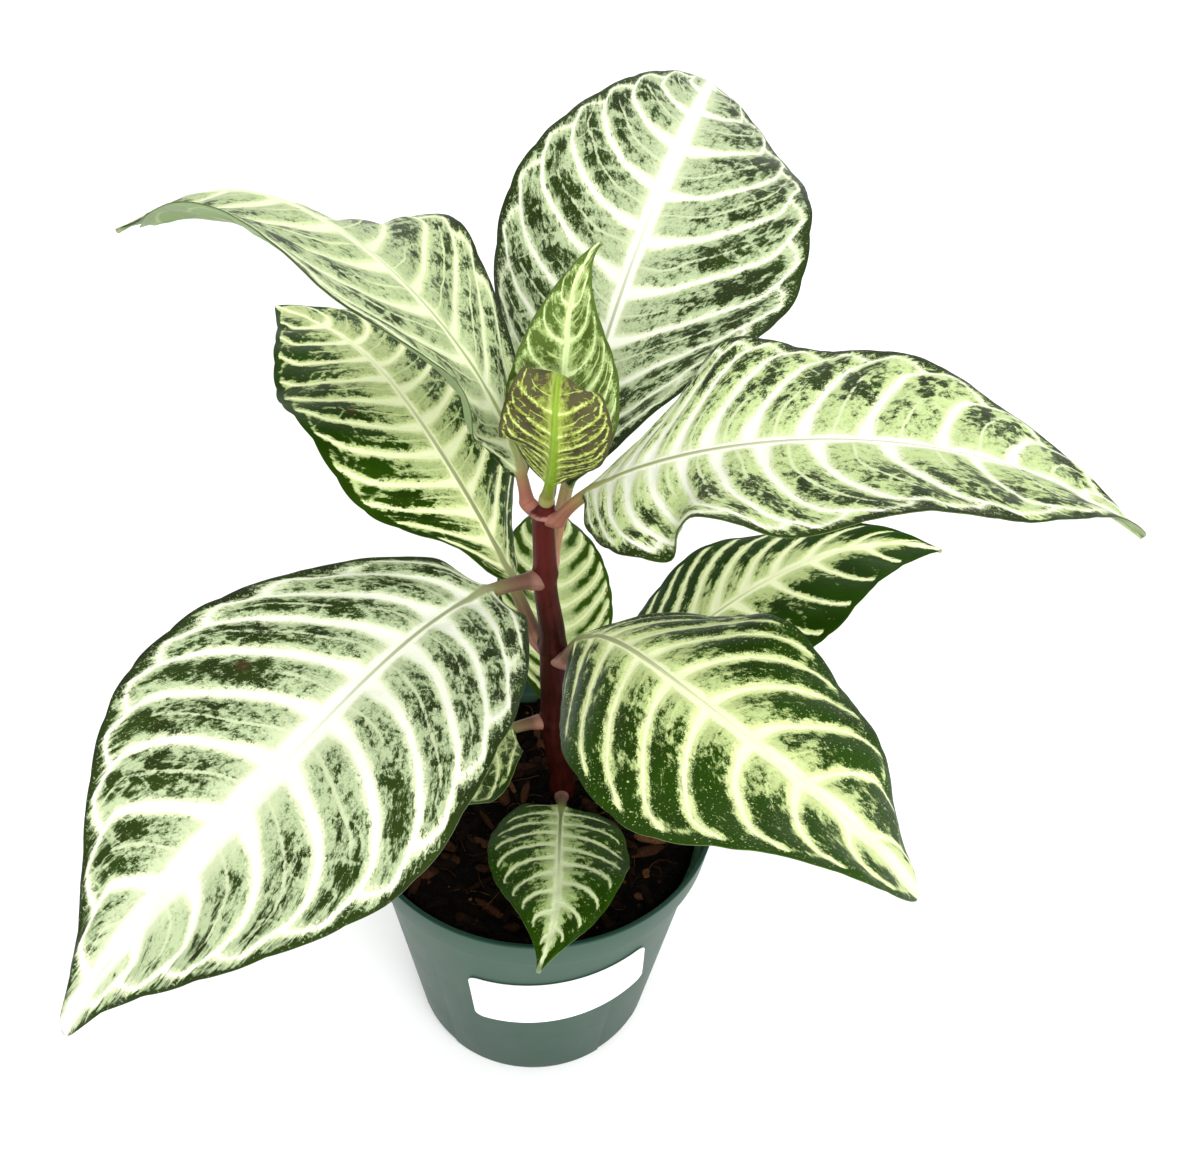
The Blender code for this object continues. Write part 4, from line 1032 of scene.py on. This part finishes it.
    # raised midrib, thin dark margin and blemishes
    ribWide = v["ribWidth"] * lerp(1.0, v["ribNarrow"], step(s, -0.02, 0.12))
    ribWide = ribWide * lerp(1.0, 0.5, step(s, 0.1, 0.6))
    ribWide = leaf["stalkRadius"] * ribWide
    rib = step(ribAway, ribWide * 1.3, ribWide * 0.6) * step(s, v["ribFade"] + 0.15, v["ribFade"] - 0.4)
    tint = blend(step(along + rough * 4, 0.2 - leaf["stalk"], 3 - leaf["stalk"]), v["foot"], v["stalk"])
    tint = blend(step(speck, 0.45, 0.7) * 0.4, tint, v["streak"])
    tint = blend(step(along, -leaf["stalk"] * 0.7, leaf["length"] * 0.07), tint, v["rib"])
    colour = blend(rib * 0.9, colour, tint)
    rimLine = step(edge, v["edgeBand"] * 0.45, v["edgeBand"] * 0.2) * step(s, 0.01, 0.05)
    colour = blend(rimLine * 0.7, colour, v["darkWarm"])
    for spotAlong, spotAcross, spotSize in v["spots"]:
        apart = sheet.add("ShaderNodeVectorMath", {"operation": "DISTANCE"}, {
            0: sheet.join(across, along), 1: (spotAcross, spotAlong, 0)}, "Value")
        mark = step(apart + rough * spotSize * 2.5, spotSize, spotSize * 0.4)
        colour = blend(mark * 0.8, colour, v["brown"])

    # paler underside, and the stalk
    back = blend(step(clump + rough, -0.5, 0.7), v["under"], v["sage"])
    back = blend(most(vein, band) * 0.7, back, v["pale"])
    colour = blend(under * v["underShare"], colour, back)
    onStalk = step(along + ribAway * 1.5, 3.0, 0.0)
    colour = blend(onStalk, colour, tint)
    roughness = v["roughness"] + fine * 0.16
    return sheet.finish(colour, roughness, speck + fine * 0.6, 0.3, v["gloss"], v["shine"])


def makeLeaves():
    for node, leaf in leaves.items():
        leaf["node"] = node
        look = {**zebraLook, **leaf["look"]}
        words = node.split("_")[1:]
        name = words[0] + "".join(word.capitalize() for word in words[1:]) + "Leaf"
        makeLeafMesh(name, leaf, look, makeLeafMaterial(name + "Skin", leaf, look))
        print("made", name)


# stage

stageLook = {
    "floorColour": (0.90, 0.90, 0.90), "floorShade": (0.86, 0.87, 0.88), "floorSize": 8.0, "sky": 1.15,
    "cameraAt": (0.0154, -0.2807, 0.4384), "cameraDown": 41.93, "cameraRoll": 3.42, "lens": 42.0,
}
lights = {
    "key": dict(at=(0.40, -1.20, 1.05), aim=(0, 0, 0.15), size=1.4, power=25),
    "overhead": dict(at=(0.3, 0.1, 1.6), aim=(0, 0, 0.15), size=1.3, power=5),
}


def makeStage():
    v = stageLook
    sheet = Sheet("paleFloor")
    cloud = sheet.noise(sheet.here(), 0.4, 2)
    colour = sheet.blend(cloud * 0.5, v["floorColour"], v["floorShade"])
    half = v["floorSize"] / 2
    corners = [(-half, -half, 0), (half, -half, 0), (half, half, 0), (-half, half, 0)]
    mesh = newMesh("floor", corners, [(0, 1, 2, 3)])
    mesh.materials.append(sheet.finish(colour, 0.85 + cloud * 0.05))
    floor = addObject("floor", mesh)
    for name, light in lights.items():
        lamp = bpy.data.lights.new(name, "AREA")
        lamp.shape = "SQUARE"
        lamp.size = light["size"]
        lamp.energy = light["power"]
        item = addObject(name, lamp)
        item.location = light["at"]
        aim = Vector(light["aim"]) - Vector(light["at"])
        item.rotation_mode = "QUATERNION"
        item.rotation_quaternion = aim.to_track_quat("-Z", "Y")
    world = bpy.data.worlds.new("softSky")
    world.use_nodes = True
    sky = world.node_tree.nodes["Background"]
    sky.inputs["Color"].default_value = (1, 1, 1, 1)
    sky.inputs["Strength"].default_value = v["sky"]
    bpy.context.scene.world = world
    camera = bpy.data.cameras.new("camera")
    camera.sensor_width = 36
    camera.lens = v["lens"]
    item = addObject("camera", camera)
    turn = Matrix.Rotation(math.radians(90 - v["cameraDown"]), 4, "X")
    roll = Matrix.Rotation(math.radians(v["cameraRoll"]), 4, "Z")
    item.matrix_world = Matrix.Translation(v["cameraAt"]) @ turn @ roll
    bpy.context.scene.camera = item
    bpy.context.scene.view_settings.view_transform = "Standard"


makeStage()
print("stage, lights and camera are set")
makePot()
makeLabel()
print("pot and label are made")
makeStem()
makeSoil()
print("stem and soil are made")
makeLeaves()
print("leaves are made")
